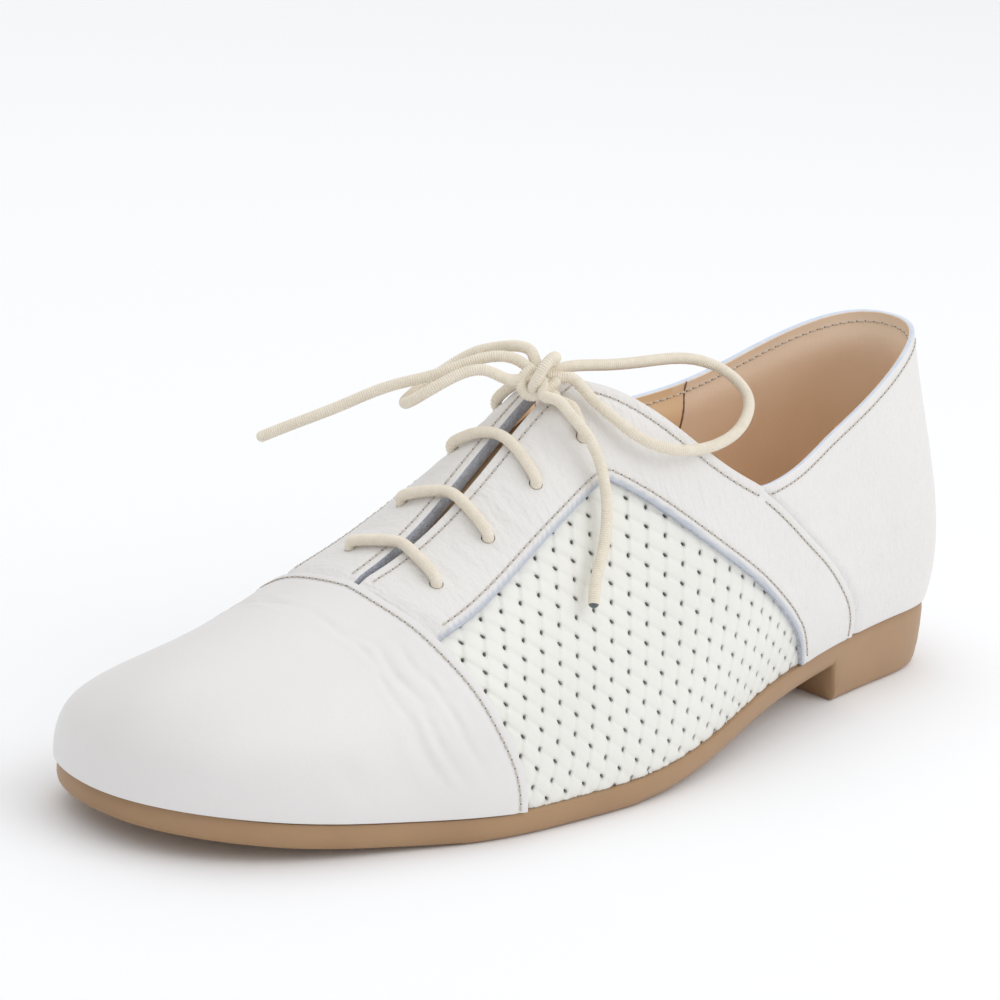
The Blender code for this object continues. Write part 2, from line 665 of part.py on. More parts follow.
for existing in list(bpy.data.objects):
    bpy.data.objects.remove(existing)
PARTS = bpy.data.collections.new("mesh_lace_up_shoe")
bpy.context.scene.collection.children.link(PARTS)
CUTTERS = bpy.data.collections.new("cutters")
bpy.context.scene.collection.children.link(CUTTERS)
SHOE = bpy.data.objects.new("shoe", None)
PARTS.objects.link(SHOE)

body = [make_outsole(), make_insole(), make_upper(), make_toe_cap(), make_heel_quarter(), make_tongue()]
facings = [make_facing(side_name, side) for side_name, side in SIDES]
eyelet_cutter = make_eyelet_cutter()
for piece in [body[2], *facings]:
    punch(piece, eyelet_cutter)
make_lace_bars()
make_bow()
bpy.context.view_layer.update()
centre_on_sole([*body, *facings])
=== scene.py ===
"""Looks of the mesh lace-up shoe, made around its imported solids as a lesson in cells."""

# %% [markdown]
# # A white lace-up shoe with woven sides
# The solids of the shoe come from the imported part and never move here. This lesson lays finely
# modelled leather, weave, lining, stitches and laces exactly where those solids are, and gives each
# its own finish. All sizes are millimetres in the shoe's own frame: x from the back of the heel to
# the toe, y to the outer side, z up from the floor.

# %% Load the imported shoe
import math

import bpy
import numpy as np
from mathutils import Matrix, Vector


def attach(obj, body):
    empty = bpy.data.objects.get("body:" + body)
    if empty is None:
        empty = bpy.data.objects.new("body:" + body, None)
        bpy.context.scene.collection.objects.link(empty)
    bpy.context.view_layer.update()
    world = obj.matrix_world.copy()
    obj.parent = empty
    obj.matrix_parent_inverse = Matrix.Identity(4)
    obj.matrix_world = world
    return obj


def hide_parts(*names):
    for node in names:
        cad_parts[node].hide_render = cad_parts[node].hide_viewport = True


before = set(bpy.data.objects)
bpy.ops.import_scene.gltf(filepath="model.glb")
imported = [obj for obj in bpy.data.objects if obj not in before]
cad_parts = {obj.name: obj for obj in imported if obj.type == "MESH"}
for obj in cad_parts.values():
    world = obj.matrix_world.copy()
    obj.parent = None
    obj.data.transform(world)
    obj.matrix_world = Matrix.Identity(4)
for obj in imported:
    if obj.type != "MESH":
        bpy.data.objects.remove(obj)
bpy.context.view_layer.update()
BODY = "root"
MM = 0.001
HEEL_TO_ORIGIN = 129.17
AXIS_TO_ORIGIN = 2.109
SHIFT = np.array([-HEEL_TO_ORIGIN, -AXIS_TO_ORIGIN, 0.0])
LATERAL = 1
MEDIAL = -1
SIDES = (("lateral", LATERAL), ("medial", MEDIAL))
print("nodes:", ", ".join(sorted(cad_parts)))


def metres(points):
    """Points of the shoe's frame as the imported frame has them."""
    return (np.asarray(points, float) + SHIFT) * MM


# %% [markdown]
# ## Camera
# The picture was taken from the front of the outer side, a little above the shoe and with the
# camera rolled. A Track To constraint could aim a camera, but it would keep it level, so its three
# axes are worked out from its turn, rise and roll. A long lens from under a metre away gives the
# same gentle perspective.

# %% Camera
TURN = 50.916            # degrees from the shoe's side towards its toe
ELEVATION = 16.585
ROLL = 6.273
EYE = (760.4, 495.7, 290.9)    # millimetres in the shoe's frame
FOCAL_SHARE = 3.80495    # focal length over the picture's width
SENSOR = 36.0
NEAREST_SEEN = 0.05      # metres


def camera_axes():
    """Right, up and backward directions of the camera."""
    turn, rise, roll = (math.radians(angle) for angle in (TURN, ELEVATION, ROLL))
    back = Vector((math.sin(turn) * math.cos(rise), math.cos(turn) * math.cos(rise), math.sin(rise)))
    level = Vector((0, 0, 1)).cross(back).normalized()
    upright = back.cross(level)
    right = math.cos(roll) * level + math.sin(roll) * upright
    up = math.cos(roll) * upright - math.sin(roll) * level
    return right, up, back


bpy.ops.object.select_all(action="DESELECT")
bpy.ops.object.camera_add()
camera = bpy.context.object
camera.name = "photo_camera"
right, up, back = camera_axes()
aim = Matrix((right, up, back)).transposed().to_4x4()
camera.matrix_world = Matrix.Translation(Vector(metres(EYE))) @ aim
camera.data.sensor_width = SENSOR
camera.data.lens = SENSOR * FOCAL_SHARE
camera.data.clip_start = NEAREST_SEEN
bpy.context.scene.camera = camera
print("camera lens %.1f mm" % camera.data.lens)

# %% [markdown]
# ## The last
# A shoe is pulled over a last, so every leather piece follows one smooth surface. It could be
# sculpted or drawn as a cage with Subdivision Surface. A table with one row for each section is used
# here, because every later piece can then ask for any point of the surface. A row is in percent of
# the length, ball width and instep height, with its pitch in degrees. A point of the surface has a
# station u, from the heel back to the toe tip, and a rise t, from the feather line, where upper and
# sole meet, to the ridge.

# %% Sections of the last
LENGTH = 256.5
BALL_WIDTH = 80.0
INSTEP_HEIGHT = 90.0
SECTION_COLUMNS = ("foot_x", "foot_lat", "foot_med", "foot_z", "crest_x", "crest_mid", "crest_half",
                   "crest_z", "pitch", "rise", "lean", "shoulder")
SECTIONS = (
    (1.6, 0.0, 0.0, 18.3, 3.5, 0.0, 0.0, 95.5, 80, 25.6, 26, 32.5),
    (4.0, 26.3, 24.3, 18.3, 5.7, 0.0, 11.8, 95.5, 80, 23.4, 22, 32.5),
    (12.1, 33.5, 32.9, 18.1, 12.9, 0.0, 19.6, 94.4, 80, 24.5, 20, 32.5),
    (24.2, 37.8, 34.0, 16.6, 25.0, 0.0, 22.0, 94.0, 72, 23.4, 17, 35.0),
    (36.3, 45.4, 31.3, 14.2, 36.3, 0.0, 22.5, 99.5, 55, 24.4, 17, 32.5),
    (46.0, 52.3, 33.3, 10.1, 44.8, 0.0, 10.0, 98.9, 25, 22.2, 15, 27.0),
    (55.4, 55.8, 39.0, 7.2, 53.0, 0.0, 2.5, 91.4, 0, 18.9, 15, 17.5),
    (64.3, 54.3, 45.3, 6.5, 61.0, 0.0, 1.9, 75.1, 0, 16.9, 12, 25.0),
    (72.9, 50.5, 49.5, 6.5, 69.0, 0.0, 0.9, 58.7, 0, 17.6, 13, 35.0),
    (81.5, 41.6, 50.0, 7.7, 77.6, 0.0, 0.0, 49.6, 0, 16.4, 12, 31.9),
    (90.1, 31.0, 46.0, 9.7, 84.4, -1.3, 0.0, 44.8, 0, 15.6, 12, 28.8),
    (97.1, 14.4, 36.3, 11.7, 89.7, -3.0, 0.0, 41.2, 0, 15.6, 13, 22.5),
    (100.0, -11.3, 11.3, 12.0, 92.6, -4.0, 0.0, 38.6, 0, 15.3, 13, 13.8),
)
COLUMN_SIZES = {
    "foot_x": LENGTH, "crest_x": LENGTH, "foot_z": INSTEP_HEIGHT, "crest_z": INSTEP_HEIGHT,
    "rise": INSTEP_HEIGHT, "foot_lat": BALL_WIDTH, "foot_med": BALL_WIDTH, "crest_mid": BALL_WIDTH,
    "crest_half": BALL_WIDTH, "shoulder": BALL_WIDTH, "lean": 1.0, "pitch": 100.0,
}
FREE_COLUMNS = ("foot_lat", "foot_med", "crest_half")
TANGENT_STEP = 1e-3
LEVEL_PITCH = 40.0
THROAT_END = 0.759
THROAT_CLOSE = 0.03


def spline(knots, values, at, level_ends=False):
    """A smooth cubic through given values, with level or free ends."""
    knots = np.asarray(knots, float)
    values = np.asarray(values, float)
    step = np.diff(knots)
    slope = np.diff(values) / step
    count = len(knots)
    matrix = np.zeros((count, count))
    wanted = np.zeros(count)
    for i in range(1, count - 1):
        matrix[i, i - 1:i + 2] = step[i - 1], 2 * (step[i - 1] + step[i]), step[i]
        wanted[i] = 6 * (slope[i] - slope[i - 1])
    if level_ends:
        matrix[0, :2] = 2 * step[0], step[0]
        matrix[-1, -2:] = step[-1], 2 * step[-1]
        wanted[0], wanted[-1] = 6 * slope[0], -6 * slope[-1]
    else:
        matrix[0, 0] = matrix[-1, -1] = 1
    bend = np.linalg.solve(matrix, wanted)
    at = np.asarray(at, float)
    i = np.clip(np.searchsorted(knots, at, side="right") - 1, 0, count - 2)
    a = (knots[i + 1] - at) / step[i]
    b = 1 - a
    return (a * values[i] + b * values[i + 1]
            + ((a**3 - a) * bend[i] + (b**3 - b) * bend[i + 1]) * step[i]**2 / 6)


TABLE = {name: np.array([row[i] for row in SECTIONS]) / 100 * COLUMN_SIZES[name]
         for i, name in enumerate(SECTION_COLUMNS)}
chords = np.hypot(np.diff(TABLE["foot_x"]), np.diff((TABLE["foot_lat"] + TABLE["foot_med"]) / 2))
STATIONS = np.concatenate([[0], np.cumsum(chords)]) / chords.sum()
print("sections:", len(SECTIONS))

# %% [markdown]
# ## Surface of the last
# Each section is one cubic arch that leaves the feather line with a lean and meets the crest at a
# pitch, and smooth curves join the sections. A NURBS surface could do the same. A function is chosen
# because it also gives the surface's normal, so a piece can be laid at any depth below or above it.

# %% Lines of the last
NO_LENGTH = 1e-12
NO_RUN = 1e-9


def column(name, u):
    """One column of the table at any station."""
    return spline(STATIONS, TABLE[name], u, level_ends=name not in FREE_COLUMNS)


def side_line(kind, u, side):
    """The feather line (foot) or the crest on one side."""
    if kind == "foot":
        y = column("foot_lat", u) if side == LATERAL else -column("foot_med", u)
    else:
        closing = np.clip((THROAT_END - u) / THROAT_CLOSE, 0, 1)
        y = column("crest_mid", u) + side * closing * np.maximum(column("crest_half", u), 0)
    return np.stack([column(kind + "_x", u), y, column(kind + "_z", u)], axis=-1)


def along(kind, u, side):
    """Direction of a line at a station, from just before it to just after it."""
    ahead = side_line(kind, np.clip(u + TANGENT_STEP, 0, 1), side)
    return ahead - side_line(kind, np.clip(u - TANGENT_STEP, 0, 1), side)


def unit(vectors):
    """Vectors drawn out or shortened to length 1."""
    return vectors / np.maximum(np.linalg.norm(vectors, axis=-1, keepdims=True), NO_LENGTH)


def square_at_ends(u, run):
    """At the heel back and the toe tip both sides run straight across."""
    at_end = (u <= 0) | (u >= 1)
    return np.where(at_end[..., None], run * np.array([0.0, 1.0, 0.0]), run)


def outward(u, side):
    """The level direction straight out from the feather line."""
    run = square_at_ends(u, along("foot", u, side))
    return unit(np.stack([-run[..., 1], run[..., 0], 0 * run[..., 0]], axis=-1) * side)


def ridge_slope(u, side):
    """How steeply the crest climbs along the shoe."""
    ridge = along("crest", u, side)
    return ridge[..., 2] / np.where(np.abs(ridge[..., 0]) < NO_RUN, NO_RUN, ridge[..., 0])


print("heel back at", np.round(side_line("foot", np.array(0.0), LATERAL), 1))

# %% Surface of the last


def last_point(u, t, side):
    """A point of the last at a station and a rise."""
    u, t = np.broadcast_arrays(np.asarray(u, float), np.asarray(t, float))
    foot = side_line("foot", u, side)
    crest = side_line("crest", u, side)
    vertical = np.array([0.0, 0.0, 1.0])
    rising = vertical + column("lean", u)[..., None] * outward(u, side)
    near_foot = foot + column("rise", u)[..., None] * rising
    fall = foot - crest
    fall[..., 2] = 0
    fall = unit(fall)
    pitch = column("pitch", u)
    fall[..., 2] = fall[..., 0] * ridge_slope(u, side) * np.clip(1 - pitch / LEVEL_PITCH, 0, 1)
    pitch = np.radians(pitch)[..., None]
    leaving = np.cos(pitch) * fall - np.sin(pitch) * vertical
    near_crest = crest + column("shoulder", u)[..., None] * leaving
    t = t[..., None]
    s = 1 - t
    return foot * s**3 + 3 * near_foot * t * s**2 + 3 * near_crest * t**2 * s + crest * t**3


def last_normal(u, t, side):
    """The direction straight out of the last at a station and a rise."""
    step = TANGENT_STEP
    u, t = np.broadcast_arrays(np.asarray(u, float), np.asarray(t, float))
    over = last_point(np.clip(u + step, 0, 1), t, side) - last_point(np.clip(u - step, 0, 1), t, side)
    rising = last_point(u, np.minimum(t + step, 1), side) - last_point(u, np.minimum(t, 1) - step, side)
    normal = unit(np.cross(rising, square_at_ends(u, over)) * side)
    slope = ridge_slope(u, side)
    upright = unit(np.stack([-slope, 0 * slope, 1 + 0 * slope], axis=-1))
    on_ridge = (t >= 1) & (u >= THROAT_END)
    return np.where(on_ridge[..., None], upright, normal)


def skin(u, t, side, depth=0.0):
    """The last's surface, moved along its normal by a depth in millimetres."""
    depth = np.asarray(depth, float)
    return last_point(u, t, side) + (depth[..., None] if depth.ndim else depth) * last_normal(u, t, side)


def run_along(points):
    """Way along a line of points, from 0 at its first one."""
    return np.concatenate([[0], np.cumsum(np.linalg.norm(np.diff(points, axis=0), axis=1))])


BALL = (0.56, 0.3)       # station and rise
print("ball of the foot at", np.round(last_point(*BALL, LATERAL), 1))

# %% [markdown]
# ## Pattern lines
# A pattern cutter draws lines on the taped last, and they divide it into cap, facings, quarter and
# woven window. They could be projected curves or cuts with a knife. Here each line is a smooth curve
# through a few points in stations and rises, because the solids follow the same lines and every
# piece can then measure its distance from them.

# %% Pattern lines
# The topline's two edges are (x, z) in millimetres. Cap and seam are (rise, station), the window is
# (station, rise) and an eyelet is (station, outer rise, inner rise), all in percent.
QUARTER_EDGE = ((0.0, 82.5), (11.0, 81.0), (28.0, 76.0), (50.0, 68.3), (72.0, 63.3), (99.0, 60.5))
FACING_EDGE = ((99.0, 60.5), (112.0, 68.3), (121.0, 76.2), (129.0, 81.6), (137.0, 83.0))
CAP_LINE = ((0, 67.6), (17, 68.3), (31, 69.5), (47, 71.0), (62, 72.6), (75, 73.9), (88, 75.2), (100, 75.9))
SEAM_LINE = ((0, 21.8), (8, 22.2), (17, 23.3), (28, 25.6), (39, 29.0), (46, 32.2), (53, 35.6), (59, 38.8))
WINDOW_FRONT = ((73.0, 66.0), (67.3, 68.6), (62.6, 68.0), (58.2, 66.4), (54.2, 66.3))
WINDOW_REAR = ((54.2, 66.3), (52.0, 60.8), (47.0, 50.0), (41.0, 38.5), (36.8, 28.0), (33.0, 16.0),
               (30.4, 0.0))
EYELETS = ((70.9, 83.0, 85.5), (65.6, 82.5, 85.0), (60.3, 80.0, 82.5), (55.0, 78.0, 79.0))
NOTCH = 0.3882
NOTCH_RISE = 0.599
CORNER = 0.534
FACING_REACH = 0.990     # rise of the facings' edge along the slit
AT_CORNER, AT_NOTCH, AT_APEX = 0.40, 0.62, 0.46    # shares of the facing's edges at their turns
HALVINGS = 26
NEARLY_TOP = 0.999


def columns_of(rows):
    """The columns of a table of rows."""
    return np.array(rows, float).T


def topline_height(x):
    """Height of the topline above the floor, seen from the side."""
    quarter_x, quarter_z = columns_of(QUARTER_EDGE)
    facing_x, facing_z = columns_of(FACING_EDGE)
    behind = spline(quarter_x, quarter_z, np.clip(x, 0, quarter_x[-1]))
    front = spline(facing_x, facing_z, np.clip(x, facing_x[0], facing_x[-1]))
    return np.where(x > facing_x[-1], 2 * INSTEP_HEIGHT, np.where(x < facing_x[0], behind, front))


def topline(u, side):
    """How far up its section the upper reaches at each station."""
    u = np.asarray(u, float)
    low, high = np.zeros_like(u), np.ones_like(u)
    for _ in range(HALVINGS):
        middle = (low + high) / 2
        point = last_point(u, middle, side)
        below = point[..., 2] < topline_height(point[..., 0])
        low, high = np.where(below, middle, low), np.where(below, high, middle)
    return np.where(high > NEARLY_TOP, 1.0, low)


def seam_station(rows, t):
    """Station of the cap line or the seam line at a rise."""
    rise, station = columns_of(rows)
    return spline(rise / 100, station / 100, np.clip(t, 0, rise[-1] / 100))


print("collar is %.1f mm high at the heel" % topline_height(0.0))

# %% Edges of facing and window


def window_edge(rows, share):
    """A point (station, rise) of the woven window's edge, at a share of its own length."""
    station, rise = columns_of(rows)
    legs = np.hypot(np.diff(station), np.diff(rise))
    knots = np.concatenate([[0], np.cumsum(legs)]) / legs.sum()
    return spline(knots, station / 100, share), spline(knots, rise / 100, share)


def facing_outer(share, side):
    """The facing's outer edge: throat, topline, then the seam down to the sole."""
    u = np.interp(share, (0, AT_CORNER, AT_NOTCH), (THROAT_END, CORNER, NOTCH))
    t = np.minimum(topline(u, side), FACING_REACH)
    seam_rise = NOTCH_RISE * (1 - np.clip((share - AT_NOTCH) / (1 - AT_NOTCH), 0, 1))
    on_seam = share > AT_NOTCH
    return np.where(on_seam, seam_station(SEAM_LINE, seam_rise), u), np.where(on_seam, seam_rise, t)


def facing_inner(share):
    """The facing's inner edge: round the woven window from the cap to the sole."""
    front = window_edge(WINDOW_FRONT, np.clip(share / AT_APEX, 0, 1))
    rear = window_edge(WINDOW_REAR, np.clip((share - AT_APEX) / (1 - AT_APEX), 0, 1))
    on_front = share < AT_APEX
    return np.where(on_front, front[0], rear[0]), np.where(on_front, front[1], rear[1])


print("window edge starts at", np.round(facing_inner(np.array([0.0])), 3).ravel())

# %% Distance from a line
LINE_POINTS = 260
EVEN = np.linspace(0, 1, LINE_POINTS)
BATCH = 4000             # points that are compared with a line at a time


def pattern_line(name, side):
    """Stations and rises along one of the cutter's lines."""
    if name == "cap":
        return seam_station(CAP_LINE, EVEN), EVEN
    if name == "window":
        return facing_inner(EVEN)
    if name == "slit":
        return THROAT_END + (CORNER - THROAT_END) * EVEN, np.full(LINE_POINTS, FACING_REACH)
    if name == "topline":
        u = CORNER + (NOTCH - CORNER) * EVEN
        return u, np.minimum(topline(u, side), FACING_REACH)
    if name == "seam":
        return seam_station(SEAM_LINE, NOTCH_RISE * (1 - EVEN)), NOTCH_RISE * (1 - EVEN)
    u = NOTCH * EVEN
    return u, topline(u, side)


def distance_to(points, name, side):
    """Distance of points of the skin from a pattern line, in millimetres."""
    line = skin(*pattern_line(name, side), side)
    points = points.reshape(-1, 3)
    nearest = np.empty(len(points))
    for start in range(0, len(points), BATCH):
        part = points[start:start + BATCH]
        gaps = np.sqrt(((part[:, None] - line[None])**2).sum(axis=2))
        nearest[start:start + BATCH] = gaps.min(axis=1)
    return nearest


print("points on a line:", LINE_POINTS)

# %% [markdown]
# ## Shared effects
# Leather, weave, rubber and cord share two effects: a pebbled, wrinkled grain and a slow drift of
# colour. Each could be drawn anew in every material. A node group is built once instead, and placed
# in each material with its own values. The groups put out heights and masks, and the shader itself
# stays in the material.

# %% Node helpers


def new_group(name, inputs, outputs):
    """An empty shader group with number sockets."""
    group = bpy.data.node_groups.new(name, "ShaderNodeTree")
    for socket, default in inputs:
        made = group.interface.new_socket(socket, in_out="INPUT", socket_type="NodeSocketFloat")
        made.default_value = default
    for socket in outputs:
        group.interface.new_socket(socket, in_out="OUTPUT", socket_type="NodeSocketFloat")
    source = group.nodes.new("NodeGroupInput")
    target = group.nodes.new("NodeGroupOutput")
    return group, source, target


def math_node(tree, operation, first, second):
    """The output of a Math node on two numbers or sockets."""
    node = tree.nodes.new("ShaderNodeMath")
    node.operation = operation
    for socket, value in zip(node.inputs, (first, second)):
        if isinstance(value, (int, float)):
            socket.default_value = value
        else:
            tree.links.new(value, socket)
    return node.outputs[0]


def noise_node(tree, coordinates, scale, detail=3.0):
    """The grey output of a Noise node."""
    node = tree.nodes.new("ShaderNodeTexNoise")
    node.inputs["Detail"].default_value = detail
    tree.links.new(coordinates, node.inputs["Vector"])
    if isinstance(scale, (int, float)):
        node.inputs["Scale"].default_value = scale
    else:
        tree.links.new(scale, node.inputs["Scale"])
    return node.outputs["Fac"]


print("nodes are made for groups, materials and world")

# %% Grain and drift
FINE_PER_CELL = 2.2      # spots of fine noise across one pebble
LINES_PER_CELL = 0.6     # wrinkles across one pebble
DRAWN_OUT = (1.0, 0.3, 0.3)
PEBBLE_SHARE = 0.8
FINE_SHARE = 0.35
MIDDLE_GREY = 0.5


def grain_group():
    """Pebbled leather: rounded cells broken up by fine noise and by drawn-out wrinkles."""
    inputs = (("Cells per metre", 1400.0), ("Wrinkle", 0.5))
    group, source, target = new_group("Leather grain", inputs, ("Height",))
    per_metre = source.outputs["Cells per metre"]
    place = group.nodes.new("ShaderNodeTexCoord").outputs["Object"]
    cells = group.nodes.new("ShaderNodeTexVoronoi")
    cells.feature = "SMOOTH_F1"
    group.links.new(place, cells.inputs["Vector"])
    group.links.new(per_metre, cells.inputs["Scale"])
    fine = noise_node(group, place, math_node(group, "MULTIPLY", per_metre, FINE_PER_CELL))
    drawn_out = group.nodes.new("ShaderNodeVectorMath")
    drawn_out.operation = "MULTIPLY"
    drawn_out.inputs[1].default_value = DRAWN_OUT
    group.links.new(place, drawn_out.inputs[0])
    lines_per_metre = math_node(group, "MULTIPLY", per_metre, LINES_PER_CELL)
    broad = noise_node(group, drawn_out.outputs[0], lines_per_metre, detail=2.5)
    wrinkle = math_node(group, "MULTIPLY", broad, source.outputs["Wrinkle"])
    pebble = math_node(group, "MULTIPLY", cells.outputs["Distance"], PEBBLE_SHARE)
    spots = math_node(group, "MULTIPLY", fine, FINE_SHARE)
    total = math_node(group, "ADD", math_node(group, "ADD", pebble, wrinkle), spots)
    group.links.new(total, target.inputs["Height"])
    return group


def drift_group():
    """A slow drift over the surface, for colour and gloss that are never quite even."""
    inputs = (("Patches per metre", 40.0), ("Contrast", 1.6))
    group, source, target = new_group("Colour drift", inputs, ("Mask",))
    place = group.nodes.new("ShaderNodeTexCoord").outputs["Object"]
    noise = noise_node(group, place, source.outputs["Patches per metre"], detail=4.0)
    centred = math_node(group, "SUBTRACT", noise, MIDDLE_GREY)
    scaled = math_node(group, "MULTIPLY", centred, source.outputs["Contrast"])
    lifted = math_node(group, "ADD", scaled, MIDDLE_GREY)
    lifted.node.use_clamp = True
    group.links.new(lifted, target.inputs["Mask"])
    return group


GRAIN = grain_group()
DRIFT = drift_group()
print("node groups:", GRAIN.name, "and", DRIFT.name)

# %% [markdown]
# ## Materials
# White leather is never one even white, rubber is never evenly dull and cord is fuzzy. Image textures
# could show this. Here every material mixes two close tones by the drift, lets its gloss follow the
# same drift and takes its relief from the grain, so no picture is needed. A mask stored on the mesh
# can cover part of a piece with a third tone: the raw edges' own grey, and painted shade in the holes
# of the weave and where its strips dive.

# %% Material helper
GLOSS_SPREAD = 0.05


def srgb(red, green, blue):
    """A colour given as it shows on a screen, from 0 to 255, in linear light."""
    shares = [value / 255 for value in (red, green, blue)]
    return [s / 12.92 if s <= 0.04045 else ((s + 0.055) / 1.055)**2.4 for s in shares] + [1.0]


def finish(name, light, dark, roughness, grain=(1400.0, 0.5), bump=(0.25, 0.0002), patches=40.0,
           sheen=0.0, mask=None, mask_colour=None):
    """Two drifting tones; grain is cells per metre and wrinkle, bump is strength and metres."""
    material = bpy.data.materials.new(name)
    material.use_nodes = True
    tree = material.node_tree
    shader = tree.nodes["Principled BSDF"]
    drift = tree.nodes.new("ShaderNodeGroup")
    drift.node_tree = DRIFT
    drift.inputs["Patches per metre"].default_value = patches
    mix = tree.nodes.new("ShaderNodeMix")
    mix.data_type = "RGBA"
    mix.inputs["A"].default_value = dark
    mix.inputs["B"].default_value = light
    tree.links.new(drift.outputs["Mask"], mix.inputs["Factor"])
    colour = mix.outputs["Result"]
    if mask:
        reader = tree.nodes.new("ShaderNodeAttribute")
        reader.attribute_name = mask
        cover = tree.nodes.new("ShaderNodeMix")
        cover.data_type = "RGBA"
        cover.inputs["B"].default_value = mask_colour
        tree.links.new(colour, cover.inputs["A"])
        tree.links.new(reader.outputs["Fac"], cover.inputs["Factor"])
        colour = cover.outputs["Result"]
    tree.links.new(colour, shader.inputs["Base Color"])
    spread = tree.nodes.new("ShaderNodeMapRange")
    spread.inputs["To Min"].default_value = roughness - GLOSS_SPREAD
    spread.inputs["To Max"].default_value = roughness + GLOSS_SPREAD
    tree.links.new(drift.outputs["Mask"], spread.inputs["Value"])
    tree.links.new(spread.outputs["Result"], shader.inputs["Roughness"])
    pebbles = tree.nodes.new("ShaderNodeGroup")
    pebbles.node_tree = GRAIN
    pebbles.inputs["Cells per metre"].default_value = grain[0]
    pebbles.inputs["Wrinkle"].default_value = grain[1]
    relief = tree.nodes.new("ShaderNodeBump")
    relief.inputs["Strength"].default_value = bump[0]
    relief.inputs["Distance"].default_value = bump[1]
    tree.links.new(pebbles.outputs["Height"], relief.inputs["Height"])
    tree.links.new(relief.outputs["Normal"], shader.inputs["Normal"])
    shader.inputs["Sheen Weight"].default_value = sheen
    return material


print("gloss drifts by %.2f" % GLOSS_SPREAD)

# %% Leather, rubber, cord and thread
CAP_LEATHER = finish("cap_leather", srgb(232, 230, 229), srgb(227, 225, 224), 0.42, (1500.0, 0.5),
                     (0.25, 0.00012))
GRAINED_LEATHER = finish("grained_leather", srgb(234, 232, 230), srgb(228, 226, 224), 0.45, (1200.0, 3.4),
                         (0.55, 0.00022), mask="raw", mask_colour=srgb(184, 190, 201))
# Its mask colour is painted shade, in the holes of the weave and where a strip dives.
WOVEN_LEATHER = finish("woven_leather", srgb(237, 237, 231), srgb(231, 231, 225), 0.36, (1900.0, 0.4),
                       (0.15, 0.0001), mask="weave_painted_shade", mask_colour=srgb(58, 56, 54))
RAW_EDGE = finish("raw_leather_edge", srgb(214, 218, 227), srgb(168, 174, 187), 0.9, (2600.0, 2.0),
                  (0.8, 0.0004), patches=700.0, sheen=0.2)
COLLAR_EDGE = finish("collar_edge", srgb(226, 233, 244), srgb(204, 215, 232), 0.75, (2200.0, 1.0),
                     (0.4, 0.0002), patches=300.0)
LINING = finish("lining_leather", srgb(246, 225, 202), srgb(234, 211, 186), 0.6, (1700.0, 0.6),
                (0.25, 0.00012))
FRONT_LINING = finish("front_lining_leather", srgb(243, 213, 175), srgb(231, 198, 159), 0.55, (1700.0, 0.6),
                      (0.25, 0.00012))
SOLE_RUBBER = finish("sole_rubber", srgb(174, 140, 104), srgb(158, 124, 90), 0.45, (900.0, 0.5),
                     (0.12, 0.0001))
LACE_CORD = finish("lace_cord", srgb(240, 232, 217), srgb(229, 219, 201), 0.8, (3000.0, 0.3),
                   (0.35, 0.0001), patches=500.0, sheen=0.25)
LACE_TIP = finish("lace_tip", srgb(120, 126, 128), srgb(70, 76, 80), 0.5, patches=900.0)
THREAD = finish("thread", srgb(214, 207, 198), srgb(196, 188, 178), 0.75, (4000.0, 0.3), (0.3, 0.0001),
                patches=600.0)
# Needle holes are small dark balls of painted shade.
NEEDLE_HOLE_SHADE = finish("needle_hole_painted_shade", srgb(150, 142, 134), srgb(122, 115, 108), 0.9)
print("materials:", len(bpy.data.materials))

# %% [markdown]
# ## How a sheet of leather is made
# Every leather piece is a thin sheet that lies on the last. It could be cut from a copy of the last
# with Booleans. Here it starts as a flat grid whose points are laid on the last at the piece's own
# depth, because the grid's lines then follow the piece's edges. Solidify gives it thickness inwards,
# so that its cut edge shows as a rim with its own finish, and a small bevel takes the sharpness off.

# %% Object helpers


def deselect():
    """Leaves edit mode and deselects everything."""
    if bpy.context.object and bpy.context.object.mode != "OBJECT":
        bpy.ops.object.mode_set(mode="OBJECT")
    bpy.ops.object.select_all(action="DESELECT")


def activate(obj):
    """Makes an object the active one and the only one selected."""
    deselect()
    obj.select_set(True)
    bpy.context.view_layer.objects.active = obj


def set_points(obj, points):
    """Moves an object's points to places in the shoe's frame."""
    obj.data.vertices.foreach_set("co", np.ascontiguousarray(metres(points), np.float32).ravel())
    obj.data.update()


def get_points(obj):
    """An object's points in metres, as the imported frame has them."""
    flat = np.empty(len(obj.data.vertices) * 3, np.float32)
    obj.data.vertices.foreach_get("co", flat)
    return flat.reshape(-1, 3)


def shoe_points(obj):
    """An object's points in millimetres of the shoe's frame."""
    return get_points(obj) / MM - SHIFT


def edit_all(obj):
    """Opens an object in edit mode with all of it selected."""
    activate(obj)
    bpy.ops.object.mode_set(mode="EDIT")
    bpy.ops.mesh.select_all(action="SELECT")


print("one millimetre is %.3f in the packed frame" % MM)

# %% Sheet helpers
WELD_GAP = 0.02
RIM_ANGLE = 60           # degrees: only the corners of a rim are sharper
SMOOTH_ANGLE = 38


def lay_sheet(name, columns, rows, place):
    """A grid whose points go where place(a, b) says, for shares a and b from 0 to 1."""
    deselect()
    bpy.ops.mesh.primitive_grid_add(x_subdivisions=columns, y_subdivisions=rows, size=1.0)
    obj = bpy.context.object
    obj.name = obj.data.name = name
    share = get_points(obj)[:, :2].astype(float) + 0.5
    set_points(obj, place(np.clip(share[:, 0], 0, 1), np.clip(share[:, 1], 0, 1)))
    return obj


def join(pieces):
    """Several objects made one."""
    deselect()
    for piece in pieces:
        piece.select_set(True)
    bpy.context.view_layer.objects.active = pieces[0]
    bpy.ops.object.join()
    return bpy.context.object


def weld(name, pieces):
    """Pieces joined and merged where their points meet."""
    obj = join(pieces)
    obj.name = obj.data.name = name
    edit_all(obj)
    bpy.ops.mesh.remove_doubles(threshold=WELD_GAP * MM)
    bpy.ops.object.mode_set(mode="OBJECT")
    return obj


